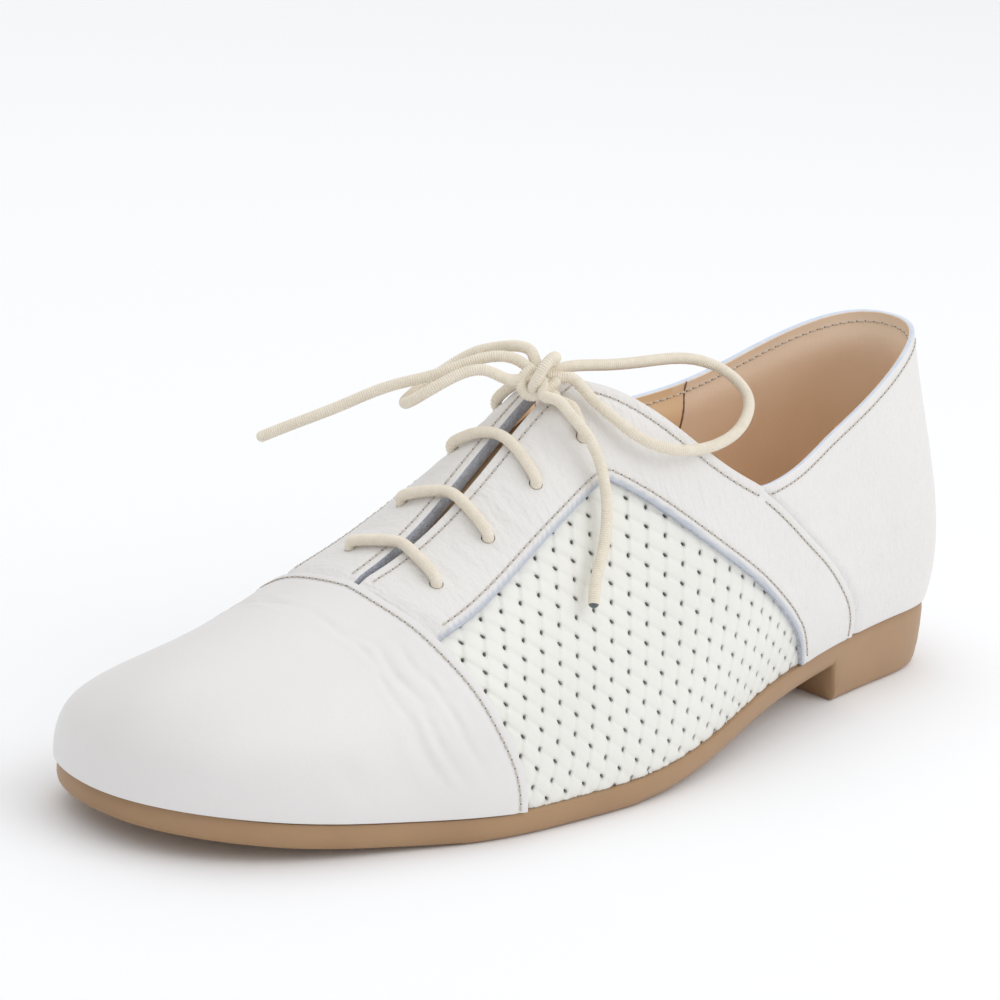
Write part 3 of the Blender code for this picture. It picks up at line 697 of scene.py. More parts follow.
def thicken(obj, thickness, bevel, materials, weights=None, thin_share=0.0):
    """Thickness inwards with a rim in the second material, then a small bevel round the rim.

    Where weights are given, the wall thins towards weight 0, to thin_share of its thickness.
    """
    for material in materials:
        obj.data.materials.append(material)
    activate(obj)
    wall = obj.modifiers.new("wall", "SOLIDIFY")
    if weights is not None:
        thick = obj.vertex_groups.new(name="thick")
        for index, weight in enumerate(weights):
            thick.add([index], float(weight), "REPLACE")
        wall.vertex_group = thick.name
        wall.thickness_vertex_group = thin_share
    wall.thickness = thickness * MM
    wall.offset = -1
    wall.use_even_offset = True
    wall.material_offset_rim = 1
    bpy.ops.object.modifier_apply(modifier=wall.name)
    if bevel:
        soft = obj.modifiers.new("soft edge", "BEVEL")
        soft.width = bevel * MM
        soft.segments = 2
        soft.limit_method = "ANGLE"
        soft.angle_limit = math.radians(RIM_ANGLE)
        soft.material = -1
        bpy.ops.object.modifier_apply(modifier=soft.name)
    return obj


def complete(obj, slot, *nodes):
    """Smooth shading, the body it rides on and the solids it stands for hidden; its slot is not used."""
    activate(obj)
    bpy.ops.object.shade_smooth_by_angle(angle=math.radians(SMOOTH_ANGLE))
    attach(obj, BODY)
    if nodes:
        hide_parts(*nodes)
    print("%s: %d faces" % (obj.name, len(obj.data.polygons)))
    return obj


def bump_at(distance, width):
    """A soft bell of height 1 where the distance is 0."""
    return np.exp(-(distance / width)**2)


def both_sides(name, columns, rows, place_on):
    """One grid a side, turned so that both face outwards, welded on the centre line."""
    halves = []
    for side_name, side in SIDES:
        place = place_on(side)

        def turned(a, b, place=place, side=side):
            return place(1 - a if side == LATERAL else a, b)

        halves.append(lay_sheet(name + "_" + side_name, columns, rows, turned))
    return weld(name, halves)


print("points within %.2f mm are welded" % WELD_GAP)

# %% [markdown]
# ## Creases
# Lasted leather has a few soft troughs where it was pulled. They could be sculpted with a brush. Here
# they are listed as rows of numbers, which come out the same each time: two points of the skin, a
# width and a depth in millimetres. A faint ridge runs beside each trough.

# %% Creases
CREASE_COLUMNS = ("station_1", "rise_1", "station_2", "rise_2", "width", "depth")
CAP_CREASES = (
    (0.813, 0.99, 0.776, 0.73, 1.0, 0.18), (0.776, 0.75, 0.753, 0.45, 0.9, 0.20),
    (0.809, 0.95, 0.774, 0.65, 0.8, 0.13), (0.758, 0.47, 0.727, 0.13, 1.0, 0.20),
    (0.760, 0.72, 0.735, 0.46, 0.8, 0.12), (0.737, 0.47, 0.711, 0.17, 0.9, 0.15),
    (0.770, 0.46, 0.745, 0.14, 1.6, 0.18), (0.830, 0.30, 0.800, 0.10, 2.4, 0.14),
    (0.820, 0.98, 0.790, 0.78, 0.7, 0.10), (0.792, 0.80, 0.764, 0.55, 0.7, 0.11),
    (0.784, 0.66, 0.758, 0.34, 0.7, 0.10), (0.748, 0.62, 0.722, 0.30, 0.7, 0.10),
    (0.766, 0.40, 0.736, 0.10, 0.7, 0.10),
)
FACING_CREASES = (
    (0.701, 0.78, 0.712, 0.92, 1.0, 0.12), (0.690, 0.74, 0.698, 0.93, 0.9, 0.12),
    (0.672, 0.74, 0.682, 0.93, 1.0, 0.14), (0.645, 0.72, 0.660, 0.94, 1.1, 0.16),
    (0.632, 0.73, 0.640, 0.90, 0.9, 0.12), (0.618, 0.73, 0.628, 0.94, 1.0, 0.14),
    (0.590, 0.71, 0.600, 0.94, 1.1, 0.15), (0.575, 0.72, 0.582, 0.90, 0.9, 0.12),
    (0.560, 0.72, 0.566, 0.92, 1.0, 0.12), (0.540, 0.70, 0.545, 0.84, 1.2, 0.12),
    (0.500, 0.62, 0.470, 0.71, 1.3, 0.14), (0.470, 0.56, 0.440, 0.66, 1.3, 0.14),
    (0.440, 0.50, 0.420, 0.60, 1.2, 0.12), (0.360, 0.36, 0.330, 0.32, 1.6, 0.12),
    (0.335, 0.22, 0.300, 0.20, 1.6, 0.10),
)
QUARTER_CREASES = (
    (0.320, 0.50, 0.240, 0.47, 1.6, 0.16), (0.300, 0.42, 0.200, 0.36, 2.0, 0.18),
    (0.270, 0.36, 0.210, 0.30, 1.5, 0.14), (0.180, 0.30, 0.090, 0.32, 2.4, 0.14),
    (0.240, 0.26, 0.160, 0.20, 2.0, 0.14), (0.280, 0.58, 0.180, 0.60, 1.4, 0.12),
    (0.150, 0.48, 0.070, 0.50, 2.0, 0.12),
)
CREASE_POINTS = 24
CREASE_GAIN = 1.35
CREASE_BOW = 0.006       # how far a crease bows towards the toe, in stations
RIDGE_SHARE = 0.45       # height of the ridge beside a trough
NEAR_END = 0.02
END_FADE = 0.7


def creased(points, rows, side):
    """The change of depth that a piece's creases give to points of the skin."""
    change = np.zeros(len(points))
    for row in rows:
        crease = dict(zip(CREASE_COLUMNS, row))
        share = np.linspace(0, 1, CREASE_POINTS)
        u = crease["station_1"] + (crease["station_2"] - crease["station_1"]) * share
        bow = CREASE_BOW * np.sin(math.pi * share)
        t = crease["rise_1"] + (crease["rise_2"] - crease["rise_1"]) * share
        line = skin(u + bow, t, side)
        gaps = np.sqrt(((points[:, None] - line[None])**2).sum(axis=2))
        nearest = gaps.min(axis=1)
        place = np.clip(gaps.argmin(axis=1) / (CREASE_POINTS - 1), NEAR_END, 1 - NEAR_END)
        fade = np.sin(math.pi * place)**END_FADE
        ridge = RIDGE_SHARE * bump_at(nearest - 2 * crease["width"], crease["width"])
        change -= CREASE_GAIN * crease["depth"] * fade * (bump_at(nearest, crease["width"]) - ridge)
    return change


print("creases a side:", len(CAP_CREASES) + len(FACING_CREASES) + len(QUARTER_CREASES))

# %% [markdown]
# ## Layers
# The cap lies over the facings and the facings lie over the quarter. Pieces that all lay at one depth
# would look like drawn lines, and stacking their full thicknesses would make the shoe grow. So the
# upper piece lifts a little at its edge, the lower one dips and runs on under it, and each stitch
# line sinks into its leather.

# %% Depths of the leather pieces
OVERLAY = 1.1
OVERLAY_TOP = 0.2
WOVEN_TOP = -0.95
LINING_TOP = -2.2
LINING_WALL = 1.2
STITCH_INSET = {"cap": 1.8, "seam": 1.8, "window": 2.3, "slit": 2.2, "topline": 2.3, "collar": 2.4}
STITCH_SINK = 0.24
STITCH_WIDTH = 0.6
EDGE_LIFT = 0.36         # at the cap's rear edge
WINDOW_LIFT = 0.25
SEAM_LIFT = 0.2
EDGE_REACH = 4.5
TUCK = 0.78              # how far the lower piece dips under the upper one
TUCK_REACH = 3.4
UNDERLAP = 0.008         # how far it runs on, as a share of the stations
SIDE_SHARE = 0.93        # way along the side for all stations, over the length
PRESS_DEPTH = 1.3
PRESS_AT = (0.84, 0.58)            # station and rise of the flattened top
PRESS_REACH = (0.09, 0.19)
SHOULDER_LIFT = 0.45
SHOULDER_AT = (0.92, 0.27)
SHOULDER_REACH = (0.05, 0.12)


def stitched(distance, name):
    """The trough that a stitch line pulls into the leather."""
    return -STITCH_SINK * bump_at(distance - STITCH_INSET[name], STITCH_WIDTH)


def tucked(distance):
    """Depth lost by a piece that runs under another, from the distance to that other's edge."""
    share = np.clip(1 - distance / TUCK_REACH, 0, 1)
    return -TUCK * share**2 * (3 - 2 * share)


def beyond(u, t, rows):
    """Signed way behind a line of stations, in millimetres."""
    return (seam_station(rows, t) - u) * LENGTH * SIDE_SHARE


def patch(u, t, at, reach):
    """A soft bell on the skin round a station and a rise."""
    return bump_at(u - at[0], reach[0]) * bump_at(t - at[1], reach[1])


def toe_press(u, t):
    """The top of the toe is pressed a little flat, and its shoulder stands out a little."""
    flat = PRESS_DEPTH * patch(u, t, PRESS_AT, PRESS_REACH)
    return SHOULDER_LIFT * patch(u, t, SHOULDER_AT, SHOULDER_REACH) - flat


print("leather %.1f mm thick" % OVERLAY)

# %% Depth of each piece


def cap_depth(u, t, side):
    """Depth of the cap's upper face, lifted at its rear edge."""
    points = skin(u, t, side)
    edge = -beyond(u, t, CAP_LINE)
    lift = EDGE_LIFT * bump_at(edge, EDGE_REACH)
    return OVERLAY_TOP + lift + toe_press(u, t) + creased(points, CAP_CREASES, side)


def facing_depth(u, t, side):
    """Depth of a facing's upper face, lifted at its edges and tucked under the cap."""
    points = skin(u, t, side)
    lift = WINDOW_LIFT * bump_at(distance_to(points, "window", side), EDGE_REACH)
    lift = np.maximum(lift, SEAM_LIFT * bump_at(distance_to(points, "seam", side), EDGE_REACH))
    under_cap = tucked(np.maximum(beyond(u, t, CAP_LINE), 0))
    lift = lift * np.clip(1 + under_cap / TUCK, 0, 1)
    return OVERLAY_TOP + lift + under_cap + creased(points, FACING_CREASES, side)


def quarter_depth(u, t, side):
    """Depth of the quarter's upper face, tucked under the facings."""
    points = skin(u, t, side)
    under_facing = tucked(np.maximum(beyond(u, t, SEAM_LINE), 0))
    return OVERLAY_TOP + under_facing + creased(points, QUARTER_CREASES, side)


print("leather lies %.1f mm above the last" % OVERLAY_TOP)

# %% [markdown]
# ## Toe cap
# One smooth piece of leather over the toe box. It could be one cage with Subdivision Surface. Two
# halves on the last are welded along the ridge instead, so its rear edge is exactly the cap line, and
# the grid has more points near that edge, where a row of stitches sinks in.

# %% Toe cap
CAP_GRID = (110, 86)
EDGE_CROWDING = 1.35     # above 1 it draws the grid's points to the rear edge
CAP_ROUND = 0.2


def cap_place(side):
    """Where the cap's grid goes on one side."""
    def place(a, b):
        start = seam_station(CAP_LINE, b)
        u = start + (1 - start) * a**EDGE_CROWDING
        edge = -beyond(u, b, CAP_LINE)
        return skin(u, b, side, cap_depth(u, b, side) + stitched(edge, "cap"))
    return place


toe_cap = both_sides("toe_cap_leather", *CAP_GRID, cap_place)
thicken(toe_cap, OVERLAY, CAP_ROUND, (CAP_LEATHER, CAP_LEATHER))
complete(toe_cap, "smooth_leather", "toe_cap")

# %% [markdown]
# ## Heel quarter
# One piece round the heel, from facing to facing. Its top is the collar, where the cut edge shows as
# a pale bluish band, and its front runs on under the facings. A trimmed copy of the last would also
# do, but a grid that ends on the topline gives a clean band for the cut edge.

# %% Heel quarter
QUARTER_GRID = (70, 56)
UNDERLAP_FADE = 4        # the underlap ends over the top quarter of the seam
EDGE_ROUND = 0.12


def quarter_place(side):
    """Where the quarter's grid goes on one side."""
    def place(a, b):
        underlap = UNDERLAP * np.clip(UNDERLAP_FADE * (1 - b), 0, 1)
        u = a * (seam_station(SEAM_LINE, b * NOTCH_RISE) + underlap)
        t = b * topline(a * NOTCH, side)
        depth = quarter_depth(u, t, side)
        rim = distance_to(skin(u, t, side), "collar", side)
        return skin(u, t, side, depth + stitched(rim, "collar"))
    return place


heel_quarter = both_sides("heel_quarter_leather", *QUARTER_GRID, quarter_place)
thicken(heel_quarter, OVERLAY, EDGE_ROUND, (GRAINED_LEATHER, COLLAR_EDGE))
complete(heel_quarter, "smooth_leather", "heel_quarter")

# %% [markdown]
# ## Facings
# On each side one piece carries the eyelets, turns at the collar and runs down to the sole behind the
# woven window. Its edge round the window is left raw, so it is fuzzy and bluish grey. The eyelets are
# plain punched holes. They could be dark spots on the leather, but the lace goes through them, so
# pins cut them with a Boolean, which is applied.

# %% Facing helpers
FACING_GRID = (150, 34)
FACING_LINES = ("window", "slit", "topline", "seam")
FACING_WALL = 1.4
SLIT_WALL = 3.2          # leather, backing and lining together, along the slit
SLIT_REACH = 2.5
CAP_UNDERLAP = 0.6 * UNDERLAP
RAW_ROUND = 0.3
RAW_WIDTH = 1.0
FRAY = 0.2               # how ragged the border of the raw edge is
FRAY_WAVES = np.array([5.1, 3.3, 2.7])
EYELET = 3.0
PIN_LENGTH = 10.0
PIN_SIDES = 20


def facing_place(side):
    """Where a facing's grid goes, from its outer edge to the window, with more points at both."""
    def place(a, b):
        share = 1 - a if side == LATERAL else a
        b = (b + 0.5 - 0.5 * np.cos(math.pi * b)) / 2
        outer_u, outer_t = facing_outer(share, side)
        inner_u, inner_t = facing_inner(share)
        u = outer_u * (1 - b) + inner_u * b
        t = outer_t * (1 - b) + inner_t * b
        u = np.minimum(u, seam_station(CAP_LINE, t) + CAP_UNDERLAP)
        points = skin(u, t, side)
        groove = sum(stitched(distance_to(points, name, side), name) for name in FACING_LINES)
        groove = np.maximum(groove, -STITCH_SINK)
        rounding = -RAW_ROUND * bump_at(distance_to(points, "window", side), RAW_WIDTH)
        return skin(u, t, side, facing_depth(u, t, side) + groove + rounding)
    return place


def fray(facing, side):
    """A mask that is 1 right at the window's edge, with a ragged border."""
    points = shoe_points(facing)
    ragged = RAW_WIDTH * (1 + FRAY * np.sin(points @ FRAY_WAVES))
    share = np.clip((ragged - distance_to(points, "window", side)) / RAW_WIDTH + 0.5, 0, 1)
    layer = facing.data.attributes.new("raw", "FLOAT", "POINT")
    layer.data.foreach_set("value", share.astype(np.float32))


def eyelet_at(number, side):
    """Station and rise of an eyelet."""
    station, outer_rise, inner_rise = EYELETS[number]
    return station / 100, (outer_rise if side == LATERAL else inner_rise) / 100


def eyelet_pins(side):
    """One pin through each eyelet of a side, joined into one cutter."""
    pins = []
    for number in range(len(EYELETS)):
        u, t = eyelet_at(number, side)
        turn = Vector(last_normal(u, t, side)).to_track_quat("Z", "Y").to_euler()
        deselect()
        bpy.ops.mesh.primitive_cylinder_add(vertices=PIN_SIDES, radius=EYELET / 2 * MM,
                                            depth=PIN_LENGTH * MM,
                                            location=metres(skin(u, t, side)), rotation=turn)
        pins.append(bpy.context.object)
    cutter = join(pins)
    bpy.ops.object.transform_apply(location=True, rotation=True, scale=True)
    return cutter


print("eyelets a side:", len(EYELETS))

# %% Facings
for side_name, side in SIDES:
    facing = lay_sheet("facing_%s_leather" % side_name, *FACING_GRID, facing_place(side))
    fray(facing, side)
    at_slit = bump_at(distance_to(shoe_points(facing), "slit", side), SLIT_REACH)
    thicken(facing, SLIT_WALL, EDGE_ROUND, (GRAINED_LEATHER, RAW_EDGE), at_slit, FACING_WALL / SLIT_WALL)
    pins = eyelet_pins(side)
    activate(facing)
    punch = facing.modifiers.new("eyelets", "BOOLEAN")
    punch.operation = "DIFFERENCE"
    punch.solver = "EXACT"
    punch.object = pins
    bpy.ops.object.modifier_apply(modifier=punch.name)
    bpy.data.objects.remove(pins)
    complete(facing, "smooth_leather", "facing_" + side_name)

# %% [markdown]
# ## Chart of the woven side
# The side panels are woven from leather strips. The upright strips are a little wider than the cross
# strips, which slope down towards the heel. A flat weave could be pulled onto the last with
# Shrinkwrap, which would squeeze some strips. A chart is worked out instead: it turns millimetres
# along the leather and up it into stations and rises, so the strips keep their width.

# %% Chart of the woven side
CHART_STATIONS = np.linspace(0.26, 0.80, 181)
CHART_RISES = np.linspace(-0.02, 1.0, 171)
CHART_HEIGHTS = 240
JUST_INSIDE = 1.001      # keeps a place before the chart's last knot
EDGE_POINTS = 400
WARP_PITCH = 5.2
WEFT_PITCH = 4.14
WARP_CELLS = 16
WEFT_CELLS = 12
WEAVE_TURN = 15.0        # degrees that the uprights lean towards the heel
WEFT_FALL = 0.4          # further fall of the cross strips along their run
STRIP_RELIEF = 0.5
HOLE_INNER = 0.32
HOLE_OUTER = 0.55
HOLE_DEPTH = 0.8
# Painted shade: the weave's colour darkens where a strip dives under the next one.
DIP_PAINTED_SHADE = 0.12         # how much darker the weave gets where a strip dives
CHART_LEVEL = 0.35       # rise at which the way along the side is measured


def woven_chart(side):
    """Tables from millimetres along the side and up it to station and rise."""
    u, t = CHART_STATIONS, CHART_RISES
    points = skin(u[:, None], t[None, :], side)
    up_side = np.cumsum(np.linalg.norm(np.diff(points, axis=1), axis=2), axis=1)
    up_side = np.concatenate([np.zeros((len(u), 1)), up_side], axis=1)
    up_side -= np.array([np.interp(0.0, t, row) for row in up_side])[:, None]
    level = skin(u, np.full_like(u, CHART_LEVEL), side)
    heights = np.linspace(up_side.min(), up_side.max(), CHART_HEIGHTS)
    rises = np.array([np.interp(heights, row, t) for row in up_side])
    return u, run_along(level), heights, rises


def chart_point(chart, heelward, height):
    """Station and rise of a place on the chart, read between its knots."""
    u_knots, run, heights, rises = chart
    u = np.interp(run[-1] - heelward, run, u_knots)
    column_at = np.clip((u - u_knots[0]) / (u_knots[1] - u_knots[0]), 0, len(u_knots) - JUST_INSIDE)
    row_at = np.clip((height - heights[0]) / (heights[1] - heights[0]), 0, len(heights) - JUST_INSIDE)
    i, j = column_at.astype(int), row_at.astype(int)
    a, b = column_at - i, row_at - j
    low = rises[i, j] * (1 - b) + rises[i, j + 1] * b
    high = rises[i + 1, j] * (1 - b) + rises[i + 1, j + 1] * b
    return u, low * (1 - a) + high * a


def window_top(u):
    """The highest rise of the woven window at a station."""
    share = np.linspace(1, 0, EDGE_POINTS)
    edge_u, edge_t = facing_inner(share)
    return np.interp(u, edge_u, edge_t, left=0.0)


print("weave: %.1f by %.1f mm" % (WARP_PITCH, WEFT_PITCH))

# %% [markdown]
# ## Relief of the weave
# Each strip goes over one strip and under the next. A bump pattern could draw that, but light on the
# real panel shows crowned strips that dive under each other, so the surface itself is raised and
# lowered: a crown across each strip, and a dive at both ends of its stretch on top.

# %% Relief of the weave
CROWN_FALL = 0.3
CROWN_POWER = 6
DIVE_LOW = 0.2
DIVE_POWER = 0.45
WINDOW_FOOT = np.linspace(0.30, 0.68, 50)    # stations of the window along the sole
CAP_SIDE = 0.75          # the window meets the cap line below this rise


def crown(share):
    """Across a strip on top: nearly flat, a little lower at both edges."""
    return 1 - CROWN_FALL * np.abs(2 * share - 1)**CROWN_POWER


def dive(share):
    """Along a strip on top: low at both ends, where it goes under the next one."""
    return DIVE_LOW + (1 - DIVE_LOW) * np.sin(math.pi * share)**DIVE_POWER


def strip_heights(across, upward):
    """Height of the woven surface from 0 to 1, at places counted in strips."""
    i = np.floor(across)
    j = np.floor(upward)
    in_warp = across - i
    in_weft = upward - j
    warp_on_top = np.mod(i + j, 2) == 0
    return np.where(warp_on_top, crown(in_warp) * dive(in_weft), crown(in_weft) * dive(in_warp))


def softened(grid):
    """One pass of averaging with the neighbours along both ways of a grid."""
    padded = np.pad(grid, 1, mode="edge")
    rows = (padded[:-2] + 2 * padded[1:-1] + padded[2:]) / 4
    return (rows[:, :-2] + 2 * rows[:, 1:-1] + rows[:, 2:]) / 4


def woven_layout(side):
    """Lowest and highest strips of a grid that covers the window on the chart."""
    chart = woven_chart(side)
    u_knots, run, heights, rises = chart
    edge_u, edge_t = facing_inner(EVEN)
    cap_u, cap_t = pattern_line("cap", side)
    below = cap_t < CAP_SIDE
    u = np.concatenate([edge_u, cap_u[below], WINDOW_FOOT])
    t = np.concatenate([edge_t, cap_t[below], np.zeros(len(WINDOW_FOOT))])
    heelward = run[-1] - np.interp(u, u_knots, run)
    knots = np.clip(np.searchsorted(u_knots, u), 0, len(u_knots) - 1)
    height = np.array([np.interp(rise, rises[k], heights) for rise, k in zip(t, knots)])
    turn = math.radians(WEAVE_TURN)
    across = heelward * math.cos(turn) - height * math.sin(turn)
    upward = heelward * math.sin(turn) + height * math.cos(turn) + WEFT_FALL * across
    low = np.floor([across.min() / WARP_PITCH - 1, upward.min() / WEFT_PITCH - 1]).astype(int)
    high = np.ceil([across.max() / WARP_PITCH + 1, upward.max() / WEFT_PITCH + 1]).astype(int)
    return chart, low, high


print("relief %.2f mm" % STRIP_RELIEF)

# %% [markdown]
# ## Woven panels
# A small hole is left at every corner where four strips meet. Holes could be cut one by one. Here the
# grid runs along the strips, so each corner is one of its points: two rings of points are drawn round
# it, and the inner ones are pushed in and darkened with painted shade, as is the weave where a strip
# dives. The grid is then trimmed a little past the edges of the leather that covers it.

# %% Holes of the weave
HOLE_UPRIGHT = (0.85, 1.1)         # stretch of a hole across and up, between uprights
HOLE_LYING = (1.2, 0.8)
LAST_RING = 2
RING_RADII = (0.0, HOLE_INNER, HOLE_OUTER)
RING_DEPTHS = (HOLE_DEPTH, 0.85 * HOLE_DEPTH, 0.06)
# Painted shade in a hole: full in its middle and first ring, faint in the second.
RING_PAINTED_SHADE = (1.0, 0.95, 0.25)
BORDER_STEP = 1e-4       # takes points on a border between strips to one side


def by_ring(ring, values, elsewhere):
    """One value for a hole's middle and each ring round it, and another elsewhere."""
    return np.select([ring == number for number in range(LAST_RING + 1)], values, elsewhere)


def strip_places(gx, gy):
    """Ways across and up the weave in millimetres, and the ring round a hole, of grid points."""
    warp = np.round(gx / WARP_CELLS).astype(int)
    weft = np.round(gy / WEFT_CELLS).astype(int)
    dx = gx - warp * WARP_CELLS
    dy = gy - weft * WEFT_CELLS
    ring = np.maximum(np.abs(dx), np.abs(dy))
    across = gx * WARP_PITCH / WARP_CELLS
    upward = gy * WEFT_PITCH / WEFT_CELLS - WEFT_FALL * across
    hole_x = warp * WARP_PITCH
    hole_y = weft * WEFT_PITCH - WEFT_FALL * hole_x
    upright = np.mod(warp + weft, 2) == 0
    around = np.arctan2(dy * WEFT_PITCH / WEFT_CELLS, dx * WARP_PITCH / WARP_CELLS)
    radius = by_ring(ring, RING_RADII, 0.0)
    stretch_x, stretch_y = (np.where(upright, *pair) for pair in zip(HOLE_UPRIGHT, HOLE_LYING))
    in_hole = ring <= LAST_RING
    across = np.where(in_hole, hole_x + radius * stretch_x * np.cos(around), across)
    fall = np.where(upright, 0.0, WEFT_FALL) * (across - hole_x)
    upward = np.where(in_hole, hole_y + radius * stretch_y * np.sin(around) - fall, upward)
    return across, upward, ring


def woven_field(gx, gy):
    """Softened height of the weave at grid points, from 0 to 1."""
    order = np.lexsort((gx, gy))
    heights = strip_heights(gx / WARP_CELLS - BORDER_STEP, gy / WEFT_CELLS + BORDER_STEP)
    field = np.empty(len(gx))
    field[order] = softened(heights[order].reshape(np.ptp(gy) + 1, np.ptp(gx) + 1)).ravel()
    return field


print("holes %.1f mm deep" % HOLE_DEPTH)

# %% Woven panels
WEAVE_TUCK = 0.15        # share of the usual dip, because the weave already lies lower
WINDOW_MARGIN = 0.035
SOLE_MARGIN = 0.6
CAP_MARGIN = 2.5
REAR_END = 0.275


def trim(obj, keep):
    """Deletes the points that are not kept."""
    activate(obj)
    bpy.ops.object.mode_set(mode="EDIT")
    bpy.ops.mesh.select_mode(type="VERT")
    bpy.ops.mesh.select_all(action="DESELECT")
    bpy.ops.object.mode_set(mode="OBJECT")
    obj.data.vertices.foreach_set("select", np.logical_not(keep))
    bpy.ops.object.mode_set(mode="EDIT")
    bpy.ops.mesh.delete(type="VERT")
    bpy.ops.object.mode_set(mode="OBJECT")


def weave_panel(side_name, side):
    """One woven side, laid along its strips and trimmed to the window."""
    chart, low, high = woven_layout(side)
    a_strip = np.array([WARP_CELLS, WEFT_CELLS])
    counts = (high - low) * a_strip
    deselect()
    bpy.ops.mesh.primitive_grid_add(x_subdivisions=int(counts[0]), y_subdivisions=int(counts[1]), size=1.0)
    obj = bpy.context.object
    obj.name = obj.data.name = "woven_panel_" + side_name
    gx, gy = (np.round((get_points(obj)[:, :2] + 0.5) * counts).astype(int) + low * a_strip).T
    across, upward, ring = strip_places(gx, gy)
    field = woven_field(gx, gy)
    turn = math.radians(WEAVE_TURN)
    heelward = across * math.cos(turn) + upward * math.sin(turn)
    height = upward * math.cos(turn) - across * math.sin(turn)
    u, t = chart_point(chart, heelward, height)
    behind_cap = beyond(u, t, CAP_LINE)
    depth = WOVEN_TOP - STRIP_RELIEF * (1 - field) - by_ring(ring, RING_DEPTHS, 0.0)
    set_points(obj, skin(u, t, side, depth + WEAVE_TUCK * tucked(np.maximum(behind_cap, 0))))
    # The mask is painted shade in the holes and where the strips dive.
    layer = obj.data.attributes.new("weave_painted_shade", "FLOAT", "POINT")
    shade_mask = by_ring(ring, RING_PAINTED_SHADE, DIP_PAINTED_SHADE * (1 - field)**2)
    layer.data.foreach_set("value", shade_mask.astype(np.float32))
    below_edge = (height > -SOLE_MARGIN) & (t < window_top(u) + WINDOW_MARGIN)
    trim(obj, below_edge & (behind_cap > -CAP_MARGIN) & (u > REAR_END))
    if side == LATERAL:
        edit_all(obj)
        bpy.ops.mesh.flip_normals()
        bpy.ops.object.mode_set(mode="OBJECT")
    return obj


for side_name, side in SIDES:
    panel = weave_panel(side_name, side)
    panel.data.materials.append(WOVEN_LEATHER)
    complete(panel, "woven_leather")

# %% [markdown]
# ## Lining
# Inside, a tan lining covers the whole wall up to the collar. It is cut in two, a heel piece and a
# lighter front piece. The inner face of the leather could simply be coloured tan, but the lining has
# an edge and a seam of its own that show at the collar. So it is a sheet too, which thins at the
# collar and comes out there to meet the leather.

# %% Lining
HEEL_LINING_GRID = (60, 44)
FRONT_LINING_GRID = (110, 44)
FRONT_WALL = 1.1
LINING_SEAM = 0.245
LINING_UNDERLAP = 0.012
LINING_END = 0.86
FRONT_STEP = 0.35        # the front piece lies over the heel piece
LINING_DROP = 0.002
RIM_MEETS = 1.38         # how far the lining comes out at the collar
RIM_REACH = 5.0
LINING_THROAT = 0.92     # rise of its edge along the throat
THROAT_PAST = 0.02
RIM_THIN = 0.25          # share of the lining's thickness that is left at the collar
RIM_BAND = 2.0           # width of the thin edge
THIN_REACH = 4.0


def lining_place(first, last, depth, rim_meets):
    """The lining's outer face: near the collar it comes out to meet the leather."""
    def place_on(side):
        def place(a, b):
            u = first + (last - first) * a
            at_throat = (u > NOTCH) & (u < THROAT_END + THROAT_PAST)
            closed = np.where(at_throat, LINING_THROAT, 1.0)
            t = b * np.minimum(topline(u, side) - LINING_DROP, closed)
            rim = np.minimum(distance_to(skin(u, t, side), "collar", side),
                             distance_to(skin(u, t, side), "topline", side))
            return skin(u, t, side, depth + rim_meets * bump_at(rim, RIM_REACH))
        return place
    return place_on


def full_share(rim):
    """0 at the collar and 1 well below it, where the lining has its full thickness."""
    return 1 - bump_at(np.maximum(rim - RIM_BAND, 0), THIN_REACH)


def below_rim(obj):
    """The share of full thickness at each point of a lining piece."""
    lines = [(name, side) for name in ("collar", "topline") for _, side in SIDES]
    points = shoe_points(obj)
    return full_share(np.min([distance_to(points, name, side) for name, side in lines], axis=0))


heel_place = lining_place(0.0, LINING_SEAM + LINING_UNDERLAP, LINING_TOP, RIM_MEETS)
heel_lining = both_sides("lining_heel", *HEEL_LINING_GRID, heel_place)
thicken(heel_lining, LINING_WALL, 0.0, (LINING, LINING), below_rim(heel_lining), RIM_THIN)
complete(heel_lining, "lining_leather", "upper")
front_place = lining_place(LINING_SEAM, LINING_END, LINING_TOP - FRONT_STEP, RIM_MEETS + FRONT_STEP)
front_lining = both_sides("lining_front", *FRONT_LINING_GRID, front_place)
thicken(front_lining, FRONT_WALL, 0.0, (FRONT_LINING, FRONT_LINING), below_rim(front_lining), RIM_THIN)
complete(front_lining, "lining_leather")

# %% [markdown]
# ## Tongue
# A plain sheet of lining leather under the throat, of which only a strip shows in the slit. A flat
# strip could be bent there with a modifier. It is laid on the last like the other sheets, because it
# then stays clear of the facings all along.

# %% Tongue
TONGUE_GRID = (60, 34)
TONGUE = 1.4
TONGUE_TOP = -4.3
TONGUE_DIP = 1.5         # how much lower its upper end lies
TONGUE_ROUND = 0.25
TONGUE_FROM = CORNER - 0.012
TONGUE_TO = THROAT_END + 0.035
TONGUE_REACH = 0.34      # how far it goes down each side, as a share of the rise
TONGUE_TAPER = 0.12
RIDGE_FLAT = 0.06


def tongue_place(a, b):
    """Where the tongue's grid goes, over the ridge from one side to the other."""
    u = TONGUE_FROM + (TONGUE_TO - TONGUE_FROM) * a
    reach = TONGUE_REACH - TONGUE_TAPER * a
    across = 2 * b - 1
    t = 1 - reach * np.maximum(np.abs(across), RIDGE_FLAT)
    depth = TONGUE_TOP - TONGUE_DIP * (1 - a)**3
    outer = skin(u, t, LATERAL, depth)
    inner = skin(u, t, MEDIAL, depth)
    return np.where(across[:, None] > 0, outer, inner)


tongue = lay_sheet("tongue_leather", *TONGUE_GRID, tongue_place)
thicken(tongue, TONGUE, TONGUE_ROUND, (FRONT_LINING, LINING))
complete(tongue, "lining_leather", "tongue")

